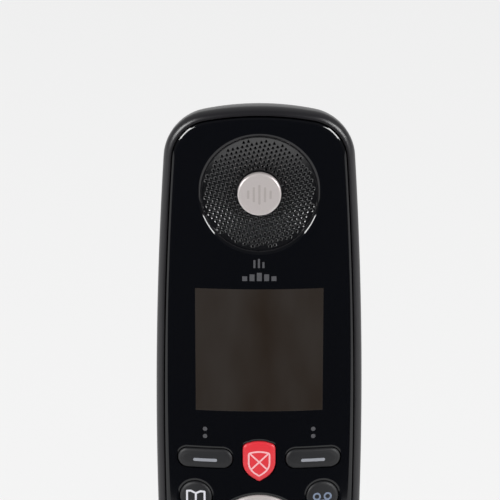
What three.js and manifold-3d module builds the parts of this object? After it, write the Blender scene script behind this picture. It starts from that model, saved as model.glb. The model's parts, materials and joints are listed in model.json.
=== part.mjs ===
// A cordless phone: a handset that stands, leaning back, in the cradle of its base station.
//
// Units are millimetres and +Z is up. The row frame's origin is on the desk, under the middle of the base's
// footprint, and the phone faces -Y. The handset is modelled in a frame of its own, inside a group that
// leans back: x across, y from front (negative) to back (positive), z along its length from its lower end.

import * as THREE from 'three';
import { mergeVertices } from 'three/addons/utils/BufferGeometryUtils.js';
import Module from 'manifold-3d';

const wasm = await Module();
wasm.setup();

// ---------------------------------------------------------------- driving dimensions

const FIT = 0.3; // gap between pieces that touch or nest
const LEAN = THREE.MathUtils.degToRad(15); // the handset's lean in the cradle
const ROCKER_TILT = THREE.MathUtils.degToRad(3); // how far the navigation rocker tips each way

const battery = {
  radius: 5.25,
  length: 44.5,
  terminalRadius: 1.9,
  terminalLength: 0.8,
  springLength: 3.2,
  trayWall: 1.1,
  plate: 0.4,
  lowEnd: 50, // height of the cells' lower ends above the handset's lower end
  room: 1, // behind the cells, where the cover bows inwards
};
const cover = { halfWidth: 16.5, margin: 3.2, corner: 5, thickness: 1.5 };

const handset = {
  length: 170,
  width: 51.3,
  widestDrop: 82.2, // the widest place, from the top
  frontDepth: 9.4, // from the parting plane to the crown of the face
  // from the parting plane to the flat of the back, behind the tray, the cells and their cover
  backDepth: battery.trayWall + 3 * FIT + 2 * battery.radius + battery.room + cover.thickness,
  rim: 2, // width of the casing's edge round the fascia
  rimRound: 3.6, // depth over which that edge rounds off
  backInset: 11, // how far the back's rounding comes in
  backBow: 3.2, // how much thinner the ends are than the middle
  sideRadius: 1000,
  topRadius: 68,
  topCorner: 12,
  lowRadius: 64,
  lowCorner: 13,
  crownRadius: 100, // the face's curve from side to side
  wall: 1.7,
};
handset.widestDepth = handset.frontDepth - handset.rimRound;

const fascia = { thickness: 1.5, ledge: 1.3 };

// Places down the face are measured from the handset's top.
const earpiece = {
  drop: 21.2,
  openingRadius: 15.2,
  grilleRadius: 14.6,
  grilleThickness: 0.5,
  dishDepth: 1.1,
  discRadius: 5.35,
  discThickness: 1.5,
  speakerRadius: 12,
  speakerThickness: 3.4,
};
const display = { drop: 44.8, height: 31.4, width: 31.3, border: 2.6, thickness: 2.4 };

const key = { proud: 0.8, gap: 0.3, flange: 0.5, flangeThickness: 0.7, travel: 0.5, stub: 2.2, rest: 0.15 };
const softKey = { drop: 88.8, offset: 13.45, length: 13.6, height: 5 };
const blockKey = { drop: 83.8, width: 8.1, height: 10.8, topRise: 0.9, topCorner: 1.3, shoulder: 0.52 };
const roundKey = { drop: 99.1, offset: 15.85, radius: 4 };
const navigation = {
  drop: 111.1,
  radius: 12.7,
  innerRadius: 5.7,
  underGap: 0.9, // room for the rocker's flange to tilt
  thickness: 1.1,
  stubOffset: 9.3,
  selectGap: 0.5, // between the rocker and the flange of the key inside it
  selectFlange: 0.5,
};
const digitKey = { firstDrop: 132.8, pitchDown: 7.7, pitchAcross: 12.6, length: 10.4, height: 5 };

const board = { thickness: 1.2, behind: 1.7, inset: 3.8, lowMargin: 9, topMargin: 42.5 };
const membrane = { thickness: 0.8, padRadius: 1.6, padHeight: 0.25 };

const ringer = {
  drop: 24,
  radius: 10,
  thickness: 4,
  slots: 5,
  slotPitch: 2.6,
  slotWidth: 1.2,
  slotLength: 13,
};
const microphone = { height: 6.4, radius: 2.1, thickness: 1.6, hole: 0.7 };
const casingScrew = {
  sideInset: 3.8,
  height: 34,
  seat: 3,
  headRadius: 2.2,
  headDepth: 1.5,
  shankRadius: 0.9,
  length: 5,
  bossRadius: 2.9,
};
const pad = { offset: 8, width: 4.4, depth: 5, middle: 3.4, thickness: 1 };

const base = {
  width: 84,
  depth: 96,
  deckHeight: 21, // the low deck in front of the handset
  backHeight: 47, // the rest behind the handset
  riseStart: -27,
  riseEnd: 14,
  topRound: 7,
  footInset: 1.4, // how far the walls tuck in at the foot
  tuckHeight: 4,
  sideRadius: 320,
  endRadius: 150,
  corner: 21,
  wall: 2.2,
  plateThickness: 2,
};
const seat = { y: -13, z: 19 }; // where the handset's lower end rests
const cradle = { clearance: 0.8, floorGap: 0.3, wall: 1.8 };
const foot = { radius: 5, height: 2, inset: 15.5 };
const findButton = { y: -36.5, radius: 4.6, proud: 0.8, travel: 0.8, flange: 1, stem: 1.4 };
const light = { x: 11, radius: 1.1 };
const socket = {
  offset: 13,
  z: 8.1,
  width: 12,
  height: 11,
  length: 14,
  mouthWidth: 9.7,
  mouthHeight: 6.8,
  depth: 11,
};
const baseBoard = { width: 54, depth: 83, thickness: 1.6, z: 6.2, backGap: 4.6 };
const baseScrew = {
  offset: 31,
  y: 4,
  headRadius: 3,
  headDepth: 1.1,
  shankRadius: 1.3,
  length: 9,
  bossRadius: 3.4,
};
const leaf = { width: 3, depth: 3.2, drop: 9.2 };

const farY = 60; // past any surface of the phone, for cutters
const PILL_SEGMENTS = 2; // how finely each curve of an outline is divided
const DISC_SEGMENTS = 9;
const SHIELD_SEGMENTS = 4;
const THREAD_GAP = 0.2; // between a screw and the boss it bites in
const RIGHT = 1;
const LEFT = -1;
const SIDES = [['left', LEFT], ['right', RIGHT]];

// ---------------------------------------------------------------- solids

// A closed geometry as a manifold-3d solid, turned right side out.
function solid(geometry) {
  const bare = new THREE.BufferGeometry();
  bare.setAttribute('position', geometry.getAttribute('position').clone());
  if (geometry.index) bare.setIndex(geometry.index.clone());
  const merged = mergeVertices(bare, 1e-4);
  const vertProperties = merged.getAttribute('position').array;
  const triVerts = Uint32Array.from(merged.index.array);
  const made = new wasm.Manifold(new wasm.Mesh({ numProp: 3, vertProperties, triVerts }));
  if (made.volume() > 0) return made;
  return new wasm.Manifold(new wasm.Mesh({ numProp: 3, vertProperties, triVerts: triVerts.reverse() }));
}

function geometryOf(body) {
  const { vertProperties, triVerts, numProp } = body.getMesh();
  const positions = new Float32Array((vertProperties.length / numProp) * 3);
  for (let i = 0; i < positions.length / 3; i++) {
    positions.set(vertProperties.subarray(i * numProp, i * numProp + 3), i * 3);
  }
  const geometry = new THREE.BufferGeometry();
  geometry.setAttribute('position', new THREE.BufferAttribute(positions, 3));
  geometry.setIndex(new THREE.BufferAttribute(Uint32Array.from(triVerts), 1));
  const flat = geometry.toNonIndexed();
  flat.computeVertexNormals();
  return flat;
}

const joined = (first, ...rest) => rest.reduce((all, next) => all.add(next), first);

function box(low, high) {
  const size = high.map((value, axis) => value - low[axis]);
  const geometry = new THREE.BoxGeometry(...size);
  geometry.translate(...low.map((value, axis) => value + size[axis] / 2));
  return solid(geometry);
}

// An outline drawn in x and z, from y = back forward to y = front.
function faceOn(shape, front, back, curveSegments = 8) {
  const settings = { depth: back - front, bevelEnabled: false, curveSegments };
  const geometry = new THREE.ExtrudeGeometry(shape, settings);
  geometry.rotateX(Math.PI / 2);
  geometry.translate(0, back, 0);
  return solid(geometry);
}

// An outline drawn in x and y, from z = low up to z = high.
function upright(shape, low, high, curveSegments = 8) {
  const settings = { depth: high - low, bevelEnabled: false, curveSegments };
  const geometry = new THREE.ExtrudeGeometry(shape, settings);
  geometry.translate(0, 0, low);
  return solid(geometry);
}

// A solid of revolution about the y axis, moved to x, z. Its [radius, y] pairs start and end on the axis.
function turnedFaceOn(profile, x, z, segments = 24) {
  const points = profile.map(([radius, y]) => new THREE.Vector2(radius, y));
  const geometry = new THREE.LatheGeometry(points, segments);
  geometry.translate(x, 0, z);
  return solid(geometry);
}

function roundRect(width, height, corner, x = 0, y = 0) {
  const shape = new THREE.Shape();
  const [halfWidth, halfHeight] = [width / 2 - corner, height / 2 - corner];
  shape.absarc(x + halfWidth, y + halfHeight, corner, 0, Math.PI / 2);
  shape.absarc(x - halfWidth, y + halfHeight, corner, Math.PI / 2, Math.PI);
  shape.absarc(x - halfWidth, y - halfHeight, corner, Math.PI, 1.5 * Math.PI);
  shape.absarc(x + halfWidth, y - halfHeight, corner, 1.5 * Math.PI, 2 * Math.PI);
  return shape;
}

function disc(radius, x = 0, y = 0) {
  return new THREE.Shape().absarc(x, y, radius, 0, 2 * Math.PI);
}

// ---------------------------------------------------------------- bowed outlines and lofts

// Where a corner arc's centre lies: at the given distances from the centres of the two arcs it joins.
function cornerCentre(side, fromSide, end, fromEnd, upward) {
  const between = end.clone().sub(side);
  const span = between.length();
  const along = (fromSide ** 2 - fromEnd ** 2 + span ** 2) / (2 * span);
  const off = Math.sqrt(fromSide ** 2 - along ** 2) * upward;
  between.divideScalar(span);
  const across = new THREE.Vector2(-between.y, between.x);
  return side.clone().addScaledVector(between, along).addScaledVector(across, off);
}

// The points of a closed outline of four gently bowed sides and four round corners, taken in by inset.
// They start at the middle of the high end and run clockwise, so point i mirrors point n - i.
function bowedOutline(o, inset = 0) {
  const side = new THREE.Vector2(o.halfWidth - o.sideRadius, o.middle);
  const high = new THREE.Vector2(0, o.high - o.highRadius);
  const low = new THREE.Vector2(0, o.low + o.lowRadius);
  const up = cornerCentre(side, o.sideRadius - o.highCorner, high, o.highRadius - o.highCorner, 1);
  const down = cornerCentre(side, o.sideRadius - o.lowCorner, low, o.lowRadius - o.lowCorner, -1);
  const heading = (from, to) => Math.atan2(to.y - from.y, to.x - from.x);
  const turns = [
    Math.PI / 2,
    heading(high, up),
    heading(side, up),
    heading(side, down),
    heading(low, down),
    -Math.PI / 2,
  ];
  const arcs = [
    [high, o.highRadius, 4],
    [up, o.highCorner, 6],
    [side, o.sideRadius, o.sideSteps],
    [down, o.lowCorner, 6],
    [low, o.lowRadius, 4],
  ];
  const right = arcs.flatMap(([centre, radius, steps], i) => {
    const arc = new THREE.EllipseCurve(
      centre.x, centre.y, radius - inset, radius - inset, turns[i], turns[i + 1], true,
    );
    return arc.getPoints(steps).slice(i ? 1 : 0);
  });
  const left = right.slice(1, -1).reverse().map((p) => new THREE.Vector2(-p.x, p.y));
  return [...right, ...left];
}

// Skins a stack of rings, which all mirror left to right, and closes its two ends with rungs across.
function loft(rings) {
  const count = rings[0].length;
  const positions = rings.flat().flatMap((p) => [p.x, p.y, p.z]);
  const index = [];
  for (let ring = 0; ring + 1 < rings.length; ring++) {
    for (let i = 0; i < count; i++) {
      const a = ring * count + i;
      const b = ring * count + ((i + 1) % count);
      index.push(a, b, a + count, b, b + count, a + count);
    }
  }
  const last = (rings.length - 1) * count;
  for (let i = 0; i < count / 2; i++) {
    const [right, nextRight] = [i, i + 1];
    const [left, nextLeft] = [(count - i) % count, count - i - 1];
    if (i > 0) {
      index.push(right, left, nextRight);
      index.push(last + right, last + nextRight, last + left);
    }
    if (i + 1 < count / 2) {
      index.push(nextRight, left, nextLeft);
      index.push(last + nextRight, last + nextLeft, last + left);
    }
  }
  const geometry = new THREE.BufferGeometry();
  geometry.setAttribute('position', new THREE.Float32BufferAttribute(positions, 3));
  geometry.setIndex(index);
  return solid(geometry);
}

// ---------------------------------------------------------------- the handset's form

const handsetOutline = {
  halfWidth: handset.width / 2,
  low: 0,
  high: handset.length,
  middle: handset.length - handset.widestDrop,
  sideRadius: handset.sideRadius,
  highRadius: handset.topRadius,
  highCorner: handset.topCorner,
  lowRadius: handset.lowRadius,
  lowCorner: handset.lowCorner,
  sideSteps: 8,
};

const sag = (x) => handset.crownRadius - Math.sqrt(handset.crownRadius ** 2 - x ** 2);
const outlineShape = (inset) => new THREE.Shape(bowedOutline(handsetOutline, inset));

// The back is deepest at the middle of the length and thins towards both ends.
function backShare(z) {
  const along = (z - handset.length / 2) / (handset.length / 2);
  return 1 - (handset.backBow / handset.backDepth) * along ** 2;
}

// The handset's outer form, drawn in by inset all round. Its face is closed flat, behind the crown's reach.
function handsetForm(inset = 0) {
  const quarter = (steps) => Array.from({ length: steps + 1 }, (_, i) => (i / steps) * (Math.PI / 2));
  const front = quarter(3).map((t) => ({
    inset: inset + handset.rim * (1 - Math.sin(t)),
    y: -(handset.widestDepth + (handset.rimRound - inset) * Math.cos(t)),
  }));
  const back = quarter(5).slice(1).map((t) => ({
    inset: inset + handset.backInset * (1 - Math.cos(t)),
    y: -handset.widestDepth + (handset.widestDepth + handset.backDepth - inset) * Math.sin(t),
  }));
  return loft([...front, ...back].map((level) => bowedOutline(handsetOutline, level.inset).map((p) => {
    const y = level.y < 0
      ? level.y * (1 - sag(p.x) / handset.frontDepth)
      : level.y * backShare(p.y);
    return new THREE.Vector3(p.x, y, p.y);
  })));
}

// A sheet that follows the crown of the face: from depth below the face to depth + thickness.
function crownSheet(depth, thickness) {
  const reach = handset.width / 2 + 1;
  const steps = 14;
  const arc = (offset) => Array.from({ length: steps + 1 }, (_, i) => {
    const x = -reach + (2 * reach * i) / steps;
    return new THREE.Vector2(x, -handset.frontDepth + offset + sag(x));
  });
  const shape = new THREE.Shape([...arc(depth), ...arc(depth + thickness).reverse()]);
  return upright(shape, -5, handset.length + 5);
}

const form = handsetForm();
const hollow = handsetForm(handset.wall);
const frontOf = (y) => box([-farY, -farY, -farY], [farY, y, handset.length + farY]);
const behind = (y) => box([-farY, y, -farY], [farY, farY, handset.length + farY]);
const skin = form.subtract(hollow);

// ---------------------------------------------------------------- keys

// A shield: a bowed top with round corners, upright sides and two arcs that meet in a point.
function shield(grow = 0) {
  const half = blockKey.width / 2 + grow;
  const top = handset.length - blockKey.drop + grow;
  const point = handset.length - blockKey.drop - blockKey.height - grow;
  const shoulder = top - (top - point) * blockKey.shoulder;
  const corner = blockKey.topCorner + grow;
  const shape = new THREE.Shape();
  shape.moveTo(0, point);
  shape.quadraticCurveTo(half * 0.9, point + (shoulder - point) * 0.42, half, shoulder);
  shape.lineTo(half, top - blockKey.topRise - corner);
  shape.quadraticCurveTo(half, top - blockKey.topRise, half - corner, top - blockKey.topRise * 0.72);
  shape.quadraticCurveTo(0, top + blockKey.topRise * 0.3, -half + corner, top - blockKey.topRise * 0.72);
  shape.quadraticCurveTo(-half, top - blockKey.topRise, -half, top - blockKey.topRise - corner);
  shape.lineTo(-half, shoulder);
  shape.quadraticCurveTo(-half * 0.9, point + (shoulder - point) * 0.42, 0, point);
  return shape;
}

const down = (drop) => handset.length - drop;

// Half the handset's width at height z, on its bowed side.
function sideAt(z) {
  const away = z - down(handset.widestDrop);
  return handset.width / 2 - handset.sideRadius + Math.sqrt(handset.sideRadius ** 2 - away ** 2);
}

const casingScrewX = sideAt(casingScrew.height) - casingScrew.sideInset;

// Every key as its name, its middle and a function that draws its outline, grown all round.
const pill = (length, height, x, z) => (grow = 0) =>
  roundRect(length + 2 * grow, height + 2 * grow, height / 2 + grow - 0.01, x, z);
const prism = ({ outline, segments }, grow = 0) => faceOn(outline(grow), -farY, farY, segments);

const DIGIT_ROWS = [['1', '2', '3'], ['4', '5', '6'], ['7', '8', '9'], ['star', '0', 'hash']];
const softKeys = SIDES.map(([side, sign]) => ({
  name: `soft_key_${side}`,
  x: sign * softKey.offset,
  z: down(softKey.drop),
  outline: pill(softKey.length, softKey.height, sign * softKey.offset, down(softKey.drop)),
  segments: PILL_SEGMENTS,
}));
const callKeyDrop = 2 * navigation.drop - roundKey.drop;
const roundKeys = [
  ['phonebook_key', LEFT, roundKey.drop],
  ['voicemail_key', RIGHT, roundKey.drop],
  ['talk_key', LEFT, callKeyDrop],
  ['end_key', RIGHT, callKeyDrop],
].map(([name, sign, drop]) => ({
  name,
  x: sign * roundKey.offset,
  z: down(drop),
  outline: (grow = 0) => disc(roundKey.radius + grow, sign * roundKey.offset, down(drop)),
  segments: DISC_SEGMENTS,
}));
const digitKeys = DIGIT_ROWS.flatMap((row, r) => row.map((name, c) => {
  const x = (c - 1) * digitKey.pitchAcross;
  const z = down(digitKey.firstDrop + r * digitKey.pitchDown);
  const outline = pill(digitKey.length, digitKey.height, x, z);
  return { name: `key_${name}`, x, z, outline, segments: PILL_SEGMENTS };
}));
const block = {
  name: 'call_block_key',
  x: 0,
  z: down(blockKey.drop + blockKey.height / 2),
  outline: shield,
  segments: SHIELD_SEGMENTS,
};
const selectRadius = navigation.innerRadius - key.gap;
const pressKeys = [...softKeys, block, ...roundKeys, ...digitKeys];
const navigationStubs = [[0, 1], [1, 0], [0, -1], [-1, 0]]
  .map(([x, z]) => [x * navigation.stubOffset, down(navigation.drop) + z * navigation.stubOffset]);
const padPlaces = [...pressKeys.map(({ x, z }) => [x, z]), ...navigationStubs, [0, down(navigation.drop)]];

// The stub under a key that presses the membrane: from y = front to the pad, less the key's travel.
function stub(x, z, front, travel) {
  const [half, back] = [key.stub / 2, membraneFront - membrane.padHeight - travel - key.rest];
  return box([x - half, front, z - half], [x + half, back, z + half]);
}

// A key cap: it stands proud of the fascia and has a flange under it, which the fascia keeps in.
function keyCap(one) {
  const under = fascia.thickness + FIT;
  const depth = under + key.flangeThickness;
  const cap = crownSheet(-key.proud, key.proud + depth).intersect(prism(one));
  const flange = crownSheet(under, key.flangeThickness).intersect(prism(one, key.flange + key.gap));
  return joined(cap, flange, stub(one.x, one.z, -handset.frontDepth + depth - 0.2, key.travel));
}

// The rocker round the select key. Its flange has room above it to tilt.
function navigationRocker() {
  const centre = down(navigation.drop);
  const ring = (outer) => faceOn(disc(outer, 0, centre), -farY, farY, 16)
    .subtract(faceOn(disc(navigation.innerRadius, 0, centre), -farY, farY, 12));
  const under = fascia.thickness + navigation.underGap;
  const depth = under + navigation.thickness;
  const cap = crownSheet(-key.proud, key.proud + depth).intersect(ring(navigation.radius));
  const flange = crownSheet(under, navigation.thickness).intersect(ring(navigation.radius + key.flange));
  const travel = navigation.stubOffset * Math.sin(ROCKER_TILT);
  const stubs = navigationStubs.map(([x, z]) => stub(x, z, -handset.frontDepth + depth - 0.2, travel));
  return joined(cap, flange, ...stubs);
}

// The round key inside the rocker, whose flange lies behind it.
function selectKey() {
  const centre = down(navigation.drop);
  const depth = fascia.thickness + navigation.underGap + navigation.thickness + navigation.selectGap;
  const cap = crownSheet(-key.proud, key.proud + depth + 0.1)
    .intersect(faceOn(disc(selectRadius, 0, centre), -farY, farY, 12));
  const flange = faceOn(
    disc(selectRadius + 2 * key.flange, 0, centre),
    -handset.frontDepth + depth,
    -handset.frontDepth + depth + navigation.selectFlange,
    12,
  );
  return cap.add(flange);
}

// ---------------------------------------------------------------- the handset's front

function fasciaPanel() {
  let panel = crownSheet(0, fascia.thickness)
    .intersect(faceOn(outlineShape(handset.rim + FIT), -farY, farY));
  const ear = disc(earpiece.openingRadius, 0, down(earpiece.drop));
  panel = panel.subtract(faceOn(ear, -farY, farY, 16));
  for (const one of pressKeys) panel = panel.subtract(prism(one, key.gap));
  const ring = disc(navigation.radius + key.gap, 0, down(navigation.drop));
  panel = panel.subtract(faceOn(ring, -farY, farY, 16));
  return panel.subtract(faceOn(disc(microphone.hole, 0, microphone.height), -farY, farY, 4));
}

function frontCasing() {
  const opening = faceOn(outlineShape(handset.rim), -farY, farY);
  const frame = form.intersect(frontOf(-FIT / 2)).subtract(opening);
  const ledge = crownSheet(fascia.thickness + FIT, fascia.ledge)
    .intersect(faceOn(outlineShape(handset.rim - 1), -farY, farY))
    .subtract(faceOn(outlineShape(handset.rim + fascia.ledge), -farY, farY));
  const bosses = SIDES.map(([, sign]) => {
    const at = [sign * casingScrewX, casingScrew.height];
    const front = membraneFront + membrane.thickness + FIT;
    const boss = faceOn(disc(casingScrew.bossRadius, ...at), front, -FIT / 2, 6);
    return boss.intersect(handsetForm(0.5))
      .subtract(faceOn(disc(casingScrew.shankRadius, ...at), -farY, farY, 6));
  });
  return joined(frame, ledge, ...bosses);
}

const earZ = down(earpiece.drop);
// Depths of the earpiece's parts, from the parting plane.
const grilleRimY = -(handset.frontDepth - sag(earpiece.openingRadius)) + 0.7;
const grilleFloorY = grilleRimY + earpiece.dishDepth;

// A dished disc: a rim, a hollow ring and a flat middle that carries the badge disc.
function earpieceGrille() {
  const middle = earpiece.discRadius + 0.6;
  const trough = (middle + earpiece.grilleRadius) / 2;
  const face = [
    [0, grilleRimY + 0.45],
    [middle, grilleRimY + 0.45],
    [trough, grilleFloorY],
    [earpiece.grilleRadius - 1.6, grilleRimY + 0.5],
    [earpiece.grilleRadius, grilleRimY],
  ];
  const back = face.map(([radius, y]) => [radius, y + earpiece.grilleThickness]).reverse();
  return turnedFaceOn([...face, ...back], 0, earZ, 36);
}

function earpieceDisc() {
  const seatY = grilleRimY + 0.45 - FIT;
  const top = seatY - earpiece.discThickness;
  return turnedFaceOn([
    [0, top],
    [earpiece.discRadius - 1, top + 0.12],
    [earpiece.discRadius - 0.3, top + 0.4],
    [earpiece.discRadius, top + 0.9],
    [earpiece.discRadius, seatY],
    [0, seatY],
  ], 0, earZ, 32);
}

const gasketTop = grilleFloorY + earpiece.grilleThickness + FIT;
const speakerTop = gasketTop + 1 + FIT;

function earpieceGasket() {
  const outer = faceOn(disc(earpiece.speakerRadius, 0, earZ), gasketTop, gasketTop + 1, 12);
  return outer.subtract(faceOn(disc(earpiece.speakerRadius - 2, 0, earZ), -farY, farY, 12));
}

function earpieceSpeaker() {
  const { speakerRadius: radius, speakerThickness: thickness } = earpiece;
  return turnedFaceOn([
    [0, speakerTop + 0.5],
    [radius * 0.45, speakerTop + 0.2],
    [radius * 0.8, speakerTop + 0.7],
    [radius - 1, speakerTop],
    [radius, speakerTop],
    [radius, speakerTop + 1.2],
    [radius * 0.6, speakerTop + 1.6],
    [radius * 0.6, speakerTop + thickness],
    [0, speakerTop + thickness],
  ], 0, earZ, 24);
}

// ---------------------------------------------------------------- inside the handset

const boardFront = -(board.behind + board.thickness);
const membraneFront = boardFront - FIT - membrane.thickness;

function displayModule() {
  const half = display.width / 2 + display.border;
  const front = -(handset.frontDepth - fascia.thickness - sag(half)) + FIT;
  const top = down(display.drop) + display.border;
  const low = down(display.drop + display.height) - display.border;
  const frame = box([-half, front, low], [half, front + display.thickness, top]);
  const ribbon = box([-7, front + 1, low - 3], [7, front + 1.4, low + 1]);
  return frame.add(ribbon);
}

// A sheet that fills the casing's opening from z = low to z = high, y = front to y = front + thickness.
function boardSheet(front, thickness, low, high) {
  const sheet = faceOn(outlineShape(board.inset), front, front + thickness);
  return sheet.intersect(box([-farY, front, low], [farY, front + thickness, high]));
}

function handsetBoard() {
  const low = board.lowMargin;
  const high = handset.length - board.topMargin;
  let panel = boardSheet(boardFront, board.thickness, low, high);
  for (const [, sign] of SIDES) {
    panel = panel.subtract(faceOn(
      disc(casingScrew.bossRadius + FIT, sign * casingScrewX, casingScrew.height), -farY, farY, 6,
    ));
  }
  const chip = (x, z, size) => box(
    [x - size / 2, boardFront + board.thickness - 0.1, z - size / 2],
    [x + size / 2, boardFront + board.thickness + 0.9, z + size / 2],
  );
  panel = joined(panel, chip(-8, high - 12, 9), chip(9, high - 14, 6), chip(0, low + 16, 5));
  return panel;
}

function keypadMembrane() {
  const top = down(softKey.drop) + softKey.height;
  const low = down(digitKey.firstDrop + (DIGIT_ROWS.length - 1) * digitKey.pitchDown) - digitKey.height;
  let sheet = boardSheet(membraneFront, membrane.thickness, low, top);
  for (const [x, z] of padPlaces) {
    const front = membraneFront - membrane.padHeight;
    const dome = faceOn(disc(membrane.padRadius, x, z), front, membraneFront + 0.1, 4);
    sheet = sheet.add(dome);
  }
  return sheet;
}

function microphoneCapsule() {
  const front = -(handset.frontDepth - fascia.thickness) + FIT;
  return turnedFaceOn([
    [0, front],
    [microphone.radius, front],
    [microphone.radius, front + microphone.thickness],
    [0, front + microphone.thickness],
  ], 0, microphone.height, 16);
}

const ringerZ = down(ringer.drop);
const ringerBack = handset.backDepth * backShare(ringerZ + ringer.radius) - handset.wall - FIT - 0.6;

function ringerSpeaker() {
  const { radius, thickness } = ringer;
  const front = ringerBack - thickness;
  return turnedFaceOn([
    [0, front],
    [radius * 0.55, front],
    [radius * 0.55, front + 1.8],
    [radius, front + 2.2],
    [radius, ringerBack],
    [0, ringerBack],
  ], 0, ringerZ, 24);
}

// ---------------------------------------------------------------- the batteries and their tray

const cellY = battery.trayWall + 2 * FIT + battery.radius;
const cellX = battery.radius + FIT;
const cellsHigh = battery.lowEnd + battery.length + battery.terminalLength;
const trayLow = battery.lowEnd - battery.springLength - battery.plate - 2 * FIT;
const trayHigh = cellsHigh + battery.springLength + battery.plate + 2 * FIT;
const trayHalf = 2 * battery.radius + 2 * FIT;

// A cell with its terminal at the upper end for rise 1, or at the lower end for rise -1.
function batteryCell(sign, rise) {
  const { radius, length, terminalRadius, terminalLength } = battery;
  const points = [[0, 0], [radius, 0], [radius, length - 1], [radius - 1, length - 0.2], [terminalRadius, length - 0.2],
    [terminalRadius, length + terminalLength], [0, length + terminalLength]]
    .map(([r, z]) => new THREE.Vector2(r, z));
  const geometry = new THREE.LatheGeometry(points, 20);
  geometry.rotateX(Math.PI / 2);
  if (rise < 0) {
    geometry.rotateX(Math.PI);
    geometry.translate(0, 0, length + terminalLength);
  }
  geometry.translate(sign * cellX, cellY, battery.lowEnd);
  return solid(geometry);
}

// A round-wire spring along z, from z = low to z = high.
function coil(x, low, high) {
  const [turns, radius, wire] = [3, 2.6, 0.35];
  class Helix extends THREE.Curve {
    getPoint(t) {
      const angle = 2 * Math.PI * turns * t;
      const width = radius * (1 - 0.35 * t);
      const z = low + (high - low) * t;
      return new THREE.Vector3(x + width * Math.cos(angle), cellY + width * Math.sin(angle), z);
    }
  }
  return solid(new THREE.ExtrudeGeometry(disc(wire), {
    extrudePath: new Helix(), steps: turns * 10, curveSegments: 3, bevelEnabled: false,
  }));
}

function batteryContacts() {
  const { radius, plate, springLength } = battery;
  const wire = 0.36;
  const across = (fromX, toX, z) => box(
    [fromX, cellY - radius + 0.6, z],
    [toX, cellY + radius - 1.4, z + plate],
  );
  const lowPlate = trayLow + FIT;
  const highPlate = trayHigh - FIT - plate;
  const boss = (x, low, high) => upright(disc(2.4, x, cellY), low, high, 6);
  // The cells lie head to tail, so one plate joins them at the lower end.
  return {
    battery_bridge: joined(
      across(-2 * radius, 2 * radius, lowPlate),
      coil(-cellX, lowPlate + plate - 0.1 + wire, battery.lowEnd - FIT - wire),
      boss(cellX, lowPlate + 0.1, battery.lowEnd - springLength * 0.3),
    ),
    battery_spring: joined(
      across(FIT, 2 * radius, highPlate),
      upright(disc(1.2, cellX, cellY), highPlate - 0.5, highPlate + 0.1, 4),
      coil(cellX, highPlate - 0.3, cellsHigh + FIT + wire),
    ),
    battery_plate: joined(
      across(-2 * radius, -FIT, highPlate),
      boss(-cellX, cellsHigh + FIT, highPlate + 0.1),
    ),
  };
}

const coverLow = trayLow - cover.margin;
const coverHigh = trayHigh + cover.margin;
const coverFloor = handset.backDepth * 0.55; // the depth of the recess that the cover closes
const coverShape = (inset) => roundRect(
  2 * (cover.halfWidth - inset), coverHigh - coverLow - 2 * inset, cover.corner - inset, 0, (coverLow + coverHigh) / 2,
);

function batteryCover() {
  const sheet = form.subtract(handsetForm(cover.thickness));
  const notch = faceOn(roundRect(9, 3, 1.4, 0, coverHigh - 4), handset.backDepth - 0.6, farY, 4);
  return sheet.intersect(faceOn(coverShape(FIT), 1, farY, 2)).subtract(notch);
}

// ---------------------------------------------------------------- the handset's back

function casingScrewAt(sign) {
  const { seat: seatY, headDepth, headRadius, length, height } = casingScrew;
  const shank = casingScrew.shankRadius - THREAD_GAP;
  return turnedFaceOn([
    [0, seatY + headDepth],
    [headRadius, seatY + headDepth],
    [headRadius, seatY + FIT],
    [shank, seatY + FIT],
    [shank, seatY - length],
    [0, seatY - length],
  ], sign * casingScrewX, height, 12);
}

function rearCasing() {
  const trayOuter = box(
    [-trayHalf - battery.trayWall, FIT, trayLow - battery.trayWall],
    [trayHalf + battery.trayWall, farY, trayHigh + battery.trayWall],
  ).intersect(handsetForm(0.6));
  const trayInner = box([-trayHalf, FIT + battery.trayWall, trayLow], [trayHalf, farY, trayHigh]);
  const wells = SIDES.map(([, sign]) => faceOn(
    disc(casingScrew.headRadius + 1.4, sign * casingScrewX, casingScrew.height), FIT / 2, farY, 6,
  ).intersect(handsetForm(0.5)));
  const bulkhead = box([-farY, coverFloor - 1.2, coverLow], [farY, coverFloor, coverHigh])
    .intersect(handsetForm(0.6));
  let casing = joined(skin.intersect(behind(FIT / 2)), trayOuter, bulkhead, ...wells);
  casing = casing.subtract(trayInner).subtract(faceOn(coverShape(0), coverFloor, farY, 2));
  for (const [, sign] of SIDES) {
    const at = [sign * casingScrewX, casingScrew.height];
    casing = casing.subtract(faceOn(disc(casingScrew.headRadius + FIT, ...at), casingScrew.seat, farY, 6));
    casing = casing.subtract(faceOn(disc(casingScrew.shankRadius + FIT, ...at), -farY, farY, 6));
    casing = casing.subtract(padSlot(sign, FIT));
  }
  for (let i = 0; i < ringer.slots; i++) {
    const z = ringerZ + (i - (ringer.slots - 1) / 2) * ringer.slotPitch;
    const slot = roundRect(ringer.slotLength, ringer.slotWidth, ringer.slotWidth / 2 - 0.01, 0, z);
    casing = casing.subtract(faceOn(slot, ringerBack, farY, 1));
  }
  return casing;
}

// The block of space that a charging contact takes in the handset's lower end.
function padSlot(sign, grow) {
  const [halfWidth, halfDepth] = [pad.width / 2 + grow, pad.depth / 2 + grow];
  const x = sign * pad.offset;
  const high = 4 * handset.wall + grow;
  return box([x - halfWidth, pad.middle - halfDepth, -farY], [x + halfWidth, pad.middle + halfDepth, high]);
}

const chargePad = (sign) => handsetForm(0.2)
  .subtract(handsetForm(0.2 + pad.thickness))
  .intersect(padSlot(sign, 0));

// ---------------------------------------------------------------- the base's form

const baseOutline = {
  halfWidth: base.width / 2,
  low: -base.depth / 2,
  high: base.depth / 2,
  middle: 0,
  sideRadius: base.sideRadius,
  highRadius: base.endRadius,
  highCorner: base.corner,
  lowRadius: base.endRadius,
  lowCorner: base.corner,
  sideSteps: 10,
};

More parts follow.
